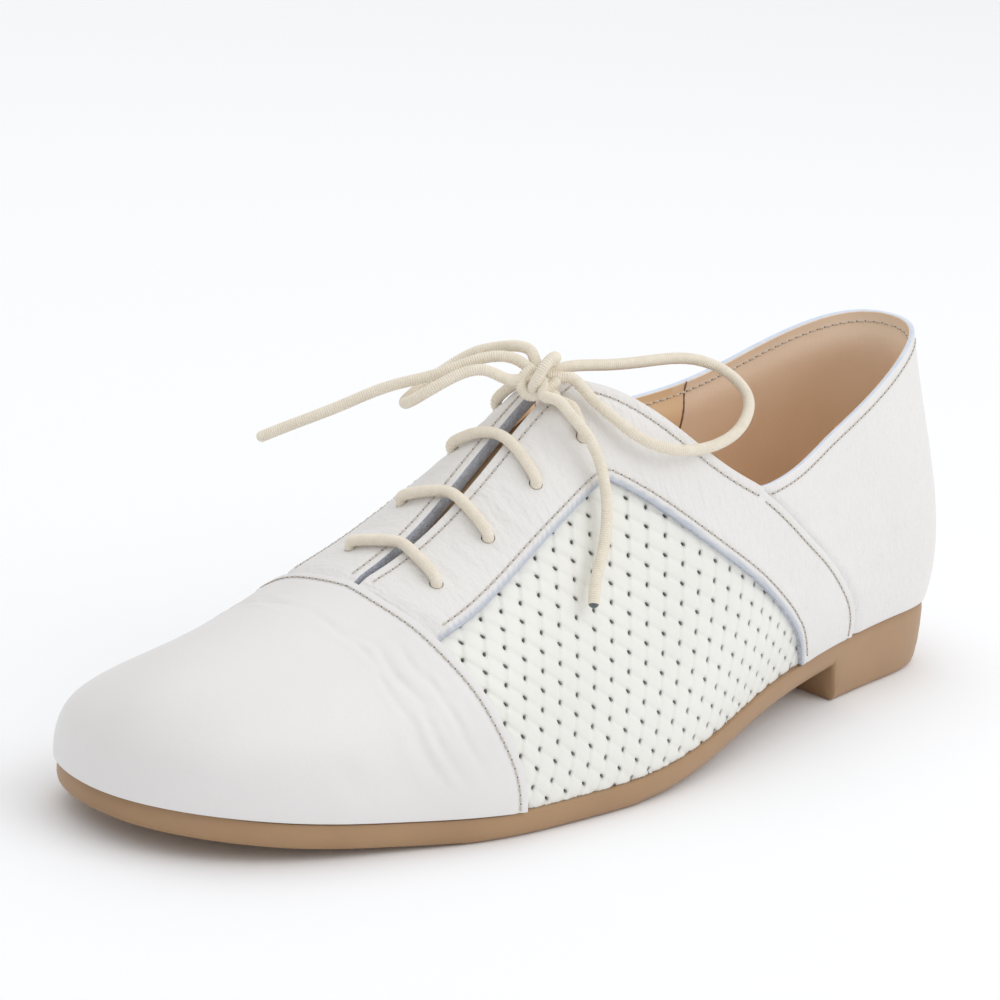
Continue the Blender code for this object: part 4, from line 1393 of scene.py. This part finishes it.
# %% [markdown]
# ## Unit sole
# Sole and heel are one moulding in tan rubber. Its section is a loop with a slightly full side, swept
# from the heel back to the toe. The underside is flat under heel and forefoot and arched between. An
# extruded outline could not follow the arch and the toe spring, so a grid is wrapped round the loop,
# the heel's front face is a step in the sweep, and a Bevel rounds the sharp corners.

# %% Unit sole
SOLE_EDGE = 6.0
BREAST_X = 54.0
BREAST_SLANT = 2.5
FLAT_FROM, FLAT_TO = 146.0, 196.0
TOE_INSET, TOE_INSET_FROM = 1.6, 0.86
GAP = 0.3
CORNER_ROUND = 0.9
CORNER_ANGLE = 55
SOLE_COUNTS = (44, 1, 155)         # faces along the heel, its front face and the forepart
NO_FACE = 0.01
FINE_STATIONS = np.linspace(0, 1, 2001)
# Each point of the loop: place across, level from bottom to top, swell beyond the feather line
SOLE_LOOP = (
    (-1.0, 1.0, -0.9), (-0.97, 1.0, -0.9), (0.97, 1.0, -0.9), (1.0, 1.0, -0.9), (1.0, 0.96, -0.35),
    (1.0, 0.86, -0.08),
    (1.0, 0.6, 0.05), (1.0, 0.35, 0.0), (1.0, 0.12, -0.4), (1.0, 0.04, -0.8), (1.0, 0.0, -1.4),
    (0.9, 0.0, -1.4), (0.0, 0.0, -1.4), (-0.9, 0.0, -1.4), (-1.0, 0.0, -1.4), (-1.0, 0.04, -0.8),
    (-1.0, 0.12, -0.4), (-1.0, 0.35, 0.0), (-1.0, 0.6, 0.05), (-1.0, 0.86, -0.08), (-1.0, 0.96, -0.35),
    (-1.0, 1.0, -0.9),
)


def sole_bottom(u):
    """Height of the underside above the floor."""
    x = column("foot_x", u)
    height = np.maximum(column("foot_z", u) - SOLE_EDGE, 0.0)
    flat = (x > FLAT_FROM) & (x < FLAT_TO)
    heel = x < BREAST_X + BREAST_SLANT / 2
    return np.where(flat | heel, 0.0, height)


def sole_place(a, b):
    """Where the sole's grid goes: along the shoe, and round the loop."""
    breast = np.interp([BREAST_X, BREAST_X + BREAST_SLANT], column("foot_x", FINE_STATIONS), FINE_STATIONS)
    edges = np.concatenate([[0], np.cumsum(SOLE_COUNTS)]) / sum(SOLE_COUNTS)
    u = np.interp(a, edges, [0.0, *breast, 1.0])
    turns = np.linspace(0, 1, len(SOLE_LOOP))
    across, level, swell = (np.interp(b, turns, values) for values in columns_of(SOLE_LOOP))
    swell = swell - TOE_INSET * np.clip((u - TOE_INSET_FROM) / (1 - TOE_INSET_FROM), 0, 1)
    outer = side_line("foot", u, LATERAL) + swell[:, None] * outward(u, LATERAL)
    inner = side_line("foot", u, MEDIAL) + swell[:, None] * outward(u, MEDIAL)
    share = ((across + 1) / 2)[:, None]
    point = inner * (1 - share) + outer * share
    top = column("foot_z", u) - GAP
    point[:, 2] = sole_bottom(u) + level * (top - sole_bottom(u))
    return point


sole_sheet = lay_sheet("unit_sole", sum(SOLE_COUNTS), len(SOLE_LOOP) - 1, sole_place)
unit_sole = weld("unit_sole", [sole_sheet])
edit_all(unit_sole)
bpy.ops.mesh.dissolve_degenerate(threshold=NO_FACE * MM)
bpy.ops.mesh.normals_make_consistent(inside=False)
bpy.ops.object.mode_set(mode="OBJECT")
rounded = unit_sole.modifiers.new("rounded corners", "BEVEL")
rounded.width = CORNER_ROUND * MM
rounded.segments = 3
rounded.limit_method = "ANGLE"
rounded.angle_limit = math.radians(CORNER_ANGLE)
bpy.ops.object.modifier_apply(modifier=rounded.name)
unit_sole.data.materials.append(SOLE_RUBBER)
complete(unit_sole, "sole_rubber", "outsole")

# %% [markdown]
# ## Insole
# A thin board with a leather cover, which shows only through the collar. A new sheet could be laid on
# it, but its solid already has the right shape, so it stays and gets the finish of the lining.

# %% Insole
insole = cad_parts["insole"]
insole.data.materials.clear()
insole.data.materials.append(FRONT_LINING)
print("insole keeps its solid")

# %% [markdown]
# ## Stitches
# Each seam is one line of thread: short dashes with a needle hole between them, a small dark ball of
# painted shade. A dashed line in the material would lie flat, and an Array on a curve turns its copies
# freely. So one stitch is modelled, and its copies are laid along a line that runs a set way inside the
# leather's edge, each with its own run and the skin's normal.

# %% Places of the stitches
STITCH_PITCH = 2.05
STITCH_LENGTH = 1.45
THREAD_RADIUS = 0.27
RUN_STEP = 0.3           # way before and behind a stitch that gives its direction


def inset_line(name, side, way):
    """A pattern line moved sideways over the skin by a way in millimetres."""
    u, t = pattern_line(name, side)
    points = skin(u, t, side)
    tangent = unit(np.gradient(points, axis=0))
    sideways = np.cross(last_normal(u, t, side), tangent) * way
    step = TANGENT_STEP
    by_u = (skin(u + step, t, side) - skin(u - step, t, side)) / (2 * step)
    by_t = (skin(u, np.minimum(t + step, 1), side) - skin(u, np.minimum(t, 1) - step, side)) / (2 * step)
    uu, ut, tt = ((one * two).sum(axis=1) for one, two in ((by_u, by_u), (by_u, by_t), (by_t, by_t)))
    su, st = (by_u * sideways).sum(axis=1), (by_t * sideways).sum(axis=1)
    scale = uu * tt - ut**2
    return u + (su * tt - st * ut) / scale, t + (st * uu - su * ut) / scale


def stitch_places(u, t, side, depth, outwards=1):
    """Centres, runs and normals of stitches at an even pitch along a line of the skin."""
    points = skin(u, t, side, depth)
    length = run_along(points)
    middle = np.arange(STITCH_PITCH / 2, length[-1], STITCH_PITCH)

    def at(way):
        return np.stack([np.interp(way, length, points[:, k]) for k in range(3)], axis=1)

    run = unit(at(middle + RUN_STEP) - at(middle - RUN_STEP))
    normal = np.stack([np.interp(middle, length, values) for values in last_normal(u, t, side).T], axis=1)
    return at(middle), run, unit(normal) * outwards


print("stitch pitch %.2f mm" % STITCH_PITCH)

# %% Copies of a stitch


def model_stitch(size):
    """One stitch or hole: a small ball drawn out to its length, width and height."""
    deselect()
    bpy.ops.mesh.primitive_uv_sphere_add(segments=8, ring_count=5, radius=1.0)
    obj = bpy.context.object
    edit_all(obj)
    bpy.ops.transform.resize(value=size)
    bpy.ops.object.mode_set(mode="OBJECT")
    verts = get_points(obj).astype(float)
    faces = [list(face.vertices) for face in obj.data.polygons]
    bpy.data.objects.remove(obj)
    return verts, faces


def copies(name, model, places, forward):
    """One mesh of many copies of a model, each turned to its line and moved forward along it."""
    verts, faces = model
    centres, runs, normals = (np.concatenate(parts) for parts in zip(*places))
    sides = np.cross(normals, runs)
    centres = centres + runs * forward
    points = (centres[:, None]
              + verts[None, :, 0, None] * runs[:, None]
              + verts[None, :, 1, None] * sides[:, None]
              + verts[None, :, 2, None] * normals[:, None])
    mesh = bpy.data.meshes.new(name)
    offsets = np.arange(len(centres)) * len(verts)
    mesh.from_pydata(metres(points.reshape(-1, 3)).tolist(), [],
                     [[index + offset for index in face] for offset in offsets for face in faces])
    obj = bpy.data.objects.new(name, mesh)
    bpy.context.scene.collection.objects.link(obj)
    return obj


print("stitch %.2f mm long" % STITCH_LENGTH)

# %% Lay the stitches
THREAD_LIFT = 0.14       # the thread's middle above the bottom of its trough
INSIDE_LIFT = 0.15
HOLE_SIZE = (0.22, 0.2, 0.16)
INSIDE_TOO = ("collar", "topline")
DEPTHS = {"cap": cap_depth, "window": facing_depth, "slit": facing_depth, "topline": facing_depth,
          "seam": facing_depth, "collar": quarter_depth}
INSET_SIGN = {"cap": 1, "window": 1, "slit": -1, "topline": -1, "seam": -1, "collar": 1}
LINE_PART = {"cap": (0.01, 1.0), "window": (0.03, 0.985), "slit": (0.05, 0.985), "topline": (0.03, 0.97),
             "seam": (0.03, 0.985), "collar": (0.0, 0.98)}
places = []
for _, side in SIDES:
    for name, depth_of in DEPTHS.items():
        u, t = inset_line(name, side, INSET_SIGN[name] * side * STITCH_INSET[name])
        first, last = (int(share * (LINE_POINTS - 1)) for share in LINE_PART[name])
        u, t = u[first:last + 1], np.clip(t[first:last + 1], 0, 1)
        places.append(stitch_places(u, t, side, depth_of(u, t, side) - STITCH_SINK + THREAD_LIFT))
        if name in INSIDE_TOO:
            meets = RIM_MEETS * bump_at(STITCH_INSET[name], RIM_REACH)
            inside = LINING_TOP - RIM_THIN * LINING_WALL + meets - INSIDE_LIFT
            places.append(stitch_places(u, t, side, np.full_like(u, inside), outwards=-1))
stitch = model_stitch((STITCH_LENGTH / 2, THREAD_RADIUS, THREAD_RADIUS))
thread = copies("seam_stitches", stitch, places, 0.0)
thread.data.materials.append(THREAD)
complete(thread, "lace_cord")
# The holes between stitches are small dark balls of painted shade.
holes = copies("painted_shade_of_needle_holes", model_stitch(HOLE_SIZE), places, STITCH_PITCH / 2)
holes.data.materials.append(NEEDLE_HOLE_SHADE)
complete(holes, "smooth_leather")

# %% [markdown]
# ## Upright seam of the lining
# Where the two lining pieces meet, a thin dark line runs down from the collar on each side. It could
# be painted by a mask. A row of flat dashes that touch is laid there instead with the same helpers,
# because it follows the lining's thinning edge by the same rule as the lining does.

# %% Upright seam of the lining
SEAM_SHADE = finish("lining_seam_shade", srgb(150, 118, 90), srgb(128, 98, 74), 0.9)
SEAM_DASH = (STITCH_PITCH * 0.75, 0.3, 0.12)
SEAM_FOOT = 0.05         # rise at which it ends
SEAM_BACK = 0.002        # it lies just behind the front piece's edge
seam_places = []
for _, side in SIDES:
    top = topline(np.array([LINING_SEAM]), side)[0]
    t = np.linspace(SEAM_FOOT, top, LINE_POINTS)
    u = np.full(LINE_POINTS, LINING_SEAM - SEAM_BACK)
    rim = distance_to(skin(u, t, side), "collar", side)
    wall = LINING_WALL * (RIM_THIN + (1 - RIM_THIN) * full_share(rim))
    depth = LINING_TOP - wall - INSIDE_LIFT + RIM_MEETS * bump_at(rim, RIM_REACH)
    seam_places.append(stitch_places(u, t, side, depth, outwards=-1))
lining_seam = copies("lining_seam", model_stitch(SEAM_DASH), seam_places, 0.0)
lining_seam.data.materials.append(SEAM_SHADE)
complete(lining_seam, "lining_leather")

# %% [markdown]
# ## Lace
# One round woven cord laces the shoe. A curve with a bevel would make a smooth tube, but fine ribs
# run round the real cord. So it is a tube whose rings swell and shrink, built ring by ring round a
# smooth route, and the routes are those of the solids.

# %% Ribbed cord
LACE = 2.6
RIB_PITCH = 0.52
RIB_HEIGHT = 0.12
RINGS_PER_RIB = 4
ROUND = 14
ROUNDED_RIBS = 2.0       # ribs over which an end is rounded
END_SHARE = 0.12
DENSE = 40               # points worked out for each point of a route
FIRST_UP = (0.3, 0.2, 1.0)


def smooth_path(route, step):
    """Even points on a smooth curve through a route, and the curve's length."""
    route = np.asarray(route, float)
    knots = run_along(route)
    dense = np.linspace(0, knots[-1], DENSE * len(route))
    points = np.stack([spline(knots, route[:, k], dense) for k in range(3)], axis=1)
    length = run_along(points)
    even = np.linspace(0, length[-1], max(int(round(length[-1] / step)), 4) + 1)
    return np.stack([np.interp(even, length, points[:, k]) for k in range(3)], axis=1), length[-1]


def frames_along(path):
    """Two directions square to the path at each point, turned as little as possible."""
    tangent = unit(np.gradient(path, axis=0))
    first = np.cross(tangent[0], FIRST_UP)
    sides = [first / np.linalg.norm(first)]
    for direction in tangent[1:]:
        side = sides[-1] - direction * (sides[-1] @ direction)
        sides.append(side / np.linalg.norm(side))
    sides = np.array(sides)
    return sides, np.cross(tangent, sides)


def ribbed_cord(name, route, tip_rings=0):
    """A tube round a smooth route, with ribs, rounded ends and, if wanted, a dark tip."""
    path, length = smooth_path(route, RIB_PITCH / RINGS_PER_RIB)
    one, two = frames_along(path)
    ring = np.arange(len(path))
    swell = 1 - RIB_HEIGHT * (0.5 - 0.5 * np.cos(2 * math.pi * ring / RINGS_PER_RIB))
    ends = np.minimum(ring, len(path) - 1 - ring) / (ROUNDED_RIBS * RINGS_PER_RIB)
    rounded_end = np.clip(ends * (2 - ends), END_SHARE, 1) * (ends < 1) + (ends >= 1)
    radius = LACE / 2 * swell * np.sqrt(rounded_end)
    angle = np.linspace(0, 2 * math.pi, ROUND, endpoint=False)
    circle = np.cos(angle)[None, :, None] * one[:, None] + np.sin(angle)[None, :, None] * two[:, None]
    points = path[:, None] + radius[:, None, None] * circle
    mesh = bpy.data.meshes.new(name)
    faces = []
    for k in range(len(path) - 1):
        for m in range(ROUND):
            n = (m + 1) % ROUND
            faces.append((k * ROUND + m, k * ROUND + n, (k + 1) * ROUND + n, (k + 1) * ROUND + m))
    faces.append(tuple(range(ROUND))[::-1])
    faces.append(tuple((len(path) - 1) * ROUND + m for m in range(ROUND)))
    mesh.from_pydata(metres(points.reshape(-1, 3)).tolist(), [], faces)
    mesh.materials.append(LACE_CORD)
    mesh.materials.append(LACE_TIP)
    for face in mesh.polygons[(len(path) - 1 - tip_rings) * ROUND:] if tip_rings else ():
        face.material_index = 1
    obj = bpy.data.objects.new(name, mesh)
    bpy.context.scene.collection.objects.link(obj)
    return obj, path, length


print("lace %.1f mm thick, ribs %.2f mm apart" % (LACE, RIB_PITCH))

# %% Ways of the lace
KNOT = np.array([143.0, 2.0, 84.2])
STRAND_START = (4.5, 6.2)
# Way over the facing and height above it, from under an eyelet to lying flat
EYELET_BEND = ((0.0, -2.6), (0.0, 0.3), (0.3, 0.95), (1.0, 1.4), (2.4, 1.55))
BAR_HEIGHT = 1.55
BAR_WAYS = (0.45, 0.72)
RISER_WAYS = (0.42,)


def out_of_eyelet(number, side, ways):
    """Up through an eyelet, then along the facing towards the ridge."""
    u, t = eyelet_at(number, side)
    over, height = columns_of(EYELET_BEND)
    reach = np.linalg.norm(skin(u, 1.0, side) - skin(u, t, side))
    rise = t + (1 - t) * np.concatenate([over / reach, ways])
    heights = OVERLAY_TOP + np.concatenate([height, np.full(len(ways), BAR_HEIGHT)])
    return skin(np.full_like(rise, u), rise, side, heights)


def knot_side(direction):
    """Two points that lead a strand out of the knot in a direction."""
    direction = np.array(direction, float)
    return [KNOT + way * direction / np.linalg.norm(direction) for way in STRAND_START]


print("knot at", KNOT)

# %% [markdown]
# ## Bars and risers
# Three straight bars join the lower eyelets, and from the top pair two short risers lead to the knot.
# One long cord under the leather would be truer, but nothing of it shows there. So each bar comes up
# through its eyelet, bends over and lies along the facing, and ends just under the leather.

# %% Bars and risers
RISER_AT_KNOT = {"lateral": (-0.10, 0.72, -0.69), "medial": (-0.30, -0.85, -0.42)}
stub_paths = []
for number in range(len(EYELETS) - 1):
    u = EYELETS[number][0] / 100
    middle = sum(skin(u, 1.0, side, OVERLAY_TOP + BAR_HEIGHT) for _, side in SIDES) / 2
    outer_half, inner_half = (out_of_eyelet(number, side, BAR_WAYS) for _, side in SIDES)
    name = "lace_bar_%d" % (number + 1)
    bar = ribbed_cord(name + "_cord", [*outer_half, middle, *inner_half[::-1]])[0]
    complete(bar, "lace_cord", name)
for side_name, side in SIDES:
    at_knot = knot_side(RISER_AT_KNOT[side_name])[::-1]
    route = [*out_of_eyelet(len(EYELETS) - 1, side, RISER_WAYS), *at_knot]
    riser, path, length = ribbed_cord("lace_riser_%s_cord" % side_name, route)
    stub_paths.append(path[::-1])
    complete(riser, "lace_cord", "lace_riser_" + side_name)
    print("riser is %.0f mm long" % length)

# %% [markdown]
# ## Bow
# The bow has a loop and a loose end on each side. A rope simulation could drop them, but it would not
# stop where the real ones lie. So each strand runs on a smooth curve through listed points, the same as
# in its solid, and its length is printed.

# %% Bow
LOOP_LATERAL = ((133.0, 3.2, 85.4), (125.7, 5.4, 85.2), (112.2, 8.5, 85.3), (101.3, 12.1, 84.8),
                (96.3, 17.0, 82.4), (95.7, 22.2, 79.0), (100.4, 26.5, 75.7), (108.1, 29.0, 73.0),
                (117.4, 29.0, 71.4), (124.9, 26.8, 71.4), (131.2, 22.2, 73.5), (135.0, 16.0, 77.6),
                (137.4, 9.8, 82.0))
LOOP_MEDIAL = ((142.2, -5.0, 88.8), (142.8, -10.2, 87.6), (145.3, -14.2, 86.0), (148.2, -17.8, 83.0),
               (153.6, -21.0, 78.3), (159.4, -21.2, 75.2), (163.4, -17.4, 76.0), (162.4, -13.0, 79.4),
               (158.4, -9.8, 82.8), (152.8, -5.6, 84.7))
END_MEDIAL = ((150.0, -9.5, 86.0), (156.8, -15.1, 82.2), (163.4, -23.2, 78.1), (169.8, -31.1, 72.5),
              (175.5, -38.1, 67.7), (180.6, -44.4, 63.3))
END_LATERAL = ((146.5, 8.5, 81.2), (145.0, 12.5, 78.6), (143.6, 17.2, 74.2), (142.9, 20.9, 68.3),
               (144.0, 24.3, 61.2), (148.3, 28.0, 53.3), (153.4, 30.9, 47.0), (155.8, 33.0, 43.0))
TIP_RINGS = 5
DARK_TIPPED = "lace_end_lateral"
STRANDS = (
    ("lace_loop_lateral", (-0.98, 0.06, 0.15), LOOP_LATERAL, (-0.65, 0.75, 0.02)),
    ("lace_loop_medial", (-0.15, -0.72, 0.68), LOOP_MEDIAL, (0.80, -0.55, -0.20)),
    ("lace_end_medial", (0.35, -0.85, 0.38), END_MEDIAL, None),
    ("lace_end_lateral", (0.58, 0.66, -0.48), END_LATERAL, None),
)
for name, leaving, route, returning in STRANDS:
    points = [*knot_side(leaving), *route]
    if returning is not None:
        points.extend(knot_side(returning)[::-1])
    strand, path, length = ribbed_cord(name + "_cord", points, TIP_RINGS if name == DARK_TIPPED else 0)
    stub_paths.append(path)
    if returning is not None:
        stub_paths.append(path[::-1])
    complete(strand, "lace_cord", name)
    metres(path[0]).tolist()
    metres(path).tolist()
    print("%s is %.0f mm long" % (name, length))

# %% [markdown]
# ## Knot
# All strands run into the knot. From the camera one turn of cord crosses it from the upper right to
# the lower left, and a second one curls out below on the left. A true knot could be tied along one
# long curve, but most of it would be hidden. So only those two turns are made, with points along the
# camera's own axes, because that is how they were read, and short stubs lead each strand inside.

# %% Knot
CROSSING = ((2.9, 3.6, -2.2), (2.7, 3.9, 0.6), (1.4, 2.9, 2.8), (-0.3, 0.4, 3.6), (-1.7, -2.2, 2.6),
            (-1.9, -3.4, 0.2))
CURL = ((-1.2, 1.6, 0.2), (-3.4, 0.4, 0.9), (-4.5, -2.0, 1.2), (-3.4, -4.0, 1.2), (-0.8, -4.2, 1.4),
        (1.6, -2.6, 1.4), (3.6, -0.8, 0.6))
STUB_FROM = 0.3
STUB_WAY = 5.0           # how far a stub follows its strand
STUB_STEP = 6            # rings of the strand for each point of the stub
STUB_INNER = 0.8


def on_camera_axes(rows):
    """Points round the knot from ways to the right, up and towards the camera."""
    return [KNOT + sum(way * np.array(axis) for way, axis in zip(row, (right, up, back))) for row in rows]


knot_parts = [ribbed_cord("knot_turn", on_camera_axes(rows))[0] for rows in (CROSSING, CURL)]
for path in stub_paths:
    way = run_along(path)
    near = path[(way > STUB_FROM) & (way < STUB_WAY)][::STUB_STEP]
    inner = KNOT + STUB_INNER * unit(near[0] - KNOT)
    knot_parts.append(ribbed_cord("knot_stub", [inner, *near])[0])
knot = weld("lace_knot_cord", knot_parts)
complete(knot, "lace_cord", "lace_knot")

# %% [markdown]
# ## Floor
# The picture was taken on white. A curved backdrop would hide the horizon, but a wide pale floor does
# the same here, because the camera looks down on it and the world behind is as pale.

# %% Floor
FLOOR_SIZE = 8.0
FLOOR_DROP = 0.0002      # metres below the sole, so that the two never share a plane
deselect()
bpy.ops.mesh.primitive_plane_add(size=FLOOR_SIZE, location=(0, 0, -FLOOR_DROP))
floor = bpy.context.object
floor.name = "floor"
floor_material = bpy.data.materials.new("floor_paper")
floor_material.use_nodes = True
floor_shader = floor_material.node_tree.nodes["Principled BSDF"]
floor_shader.inputs["Base Color"].default_value = srgb(250, 251, 253)
floor_shader.inputs["Roughness"].default_value = 0.8
floor.data.materials.append(floor_material)
print("floor %.0f m wide" % FLOOR_SIZE)

# %% [markdown]
# ## Light
# Large soft lights leave open shadows and no hard gloss. A ring of many lamps could do that. A bright
# world that is a little brighter towards one side, and two big soft lamps, give the same with less
# noise in the picture.

# %% Light
WORLD_STRENGTH = 0.71
WORLD_SWING = 0.22       # how much brighter it is towards the bright side, and darker opposite
BRIGHT_SIDE = (-0.55, 0.25, 0.80)
LAMPS = (
    ("key_softbox", (0.0, -0.40, 1.50), 1.2, 3.0),
    ("side_softbox", (-0.50, 1.10, 1.20), 1.2, 5.5),
)
world = bpy.data.worlds.new("studio")
bpy.context.scene.world = world
world.use_nodes = True
sky = world.node_tree
background = sky.nodes["Background"]
background.inputs["Color"].default_value = (1.0, 1.0, 1.0, 1.0)
direction = sky.nodes.new("ShaderNodeTexCoord").outputs["Generated"]
towards = sky.nodes.new("ShaderNodeVectorMath")
towards.operation = "DOT_PRODUCT"
towards.inputs[1].default_value = BRIGHT_SIDE
sky.links.new(direction, towards.inputs[0])
swing = math_node(sky, "MULTIPLY", towards.outputs["Value"], WORLD_SWING)
strength = math_node(sky, "ADD", swing, WORLD_STRENGTH)
sky.links.new(strength, background.inputs["Strength"])
for name, place, size, power in LAMPS:
    deselect()
    bpy.ops.object.light_add(type="AREA", location=place)
    lamp = bpy.context.object
    lamp.name = name
    lamp.data.size = size
    lamp.data.energy = power
    lamp.rotation_euler = (-Vector(place)).to_track_quat("-Z", "Y").to_euler()
bpy.context.scene.view_settings.view_transform = "Standard"
print("lamps:", len(LAMPS))
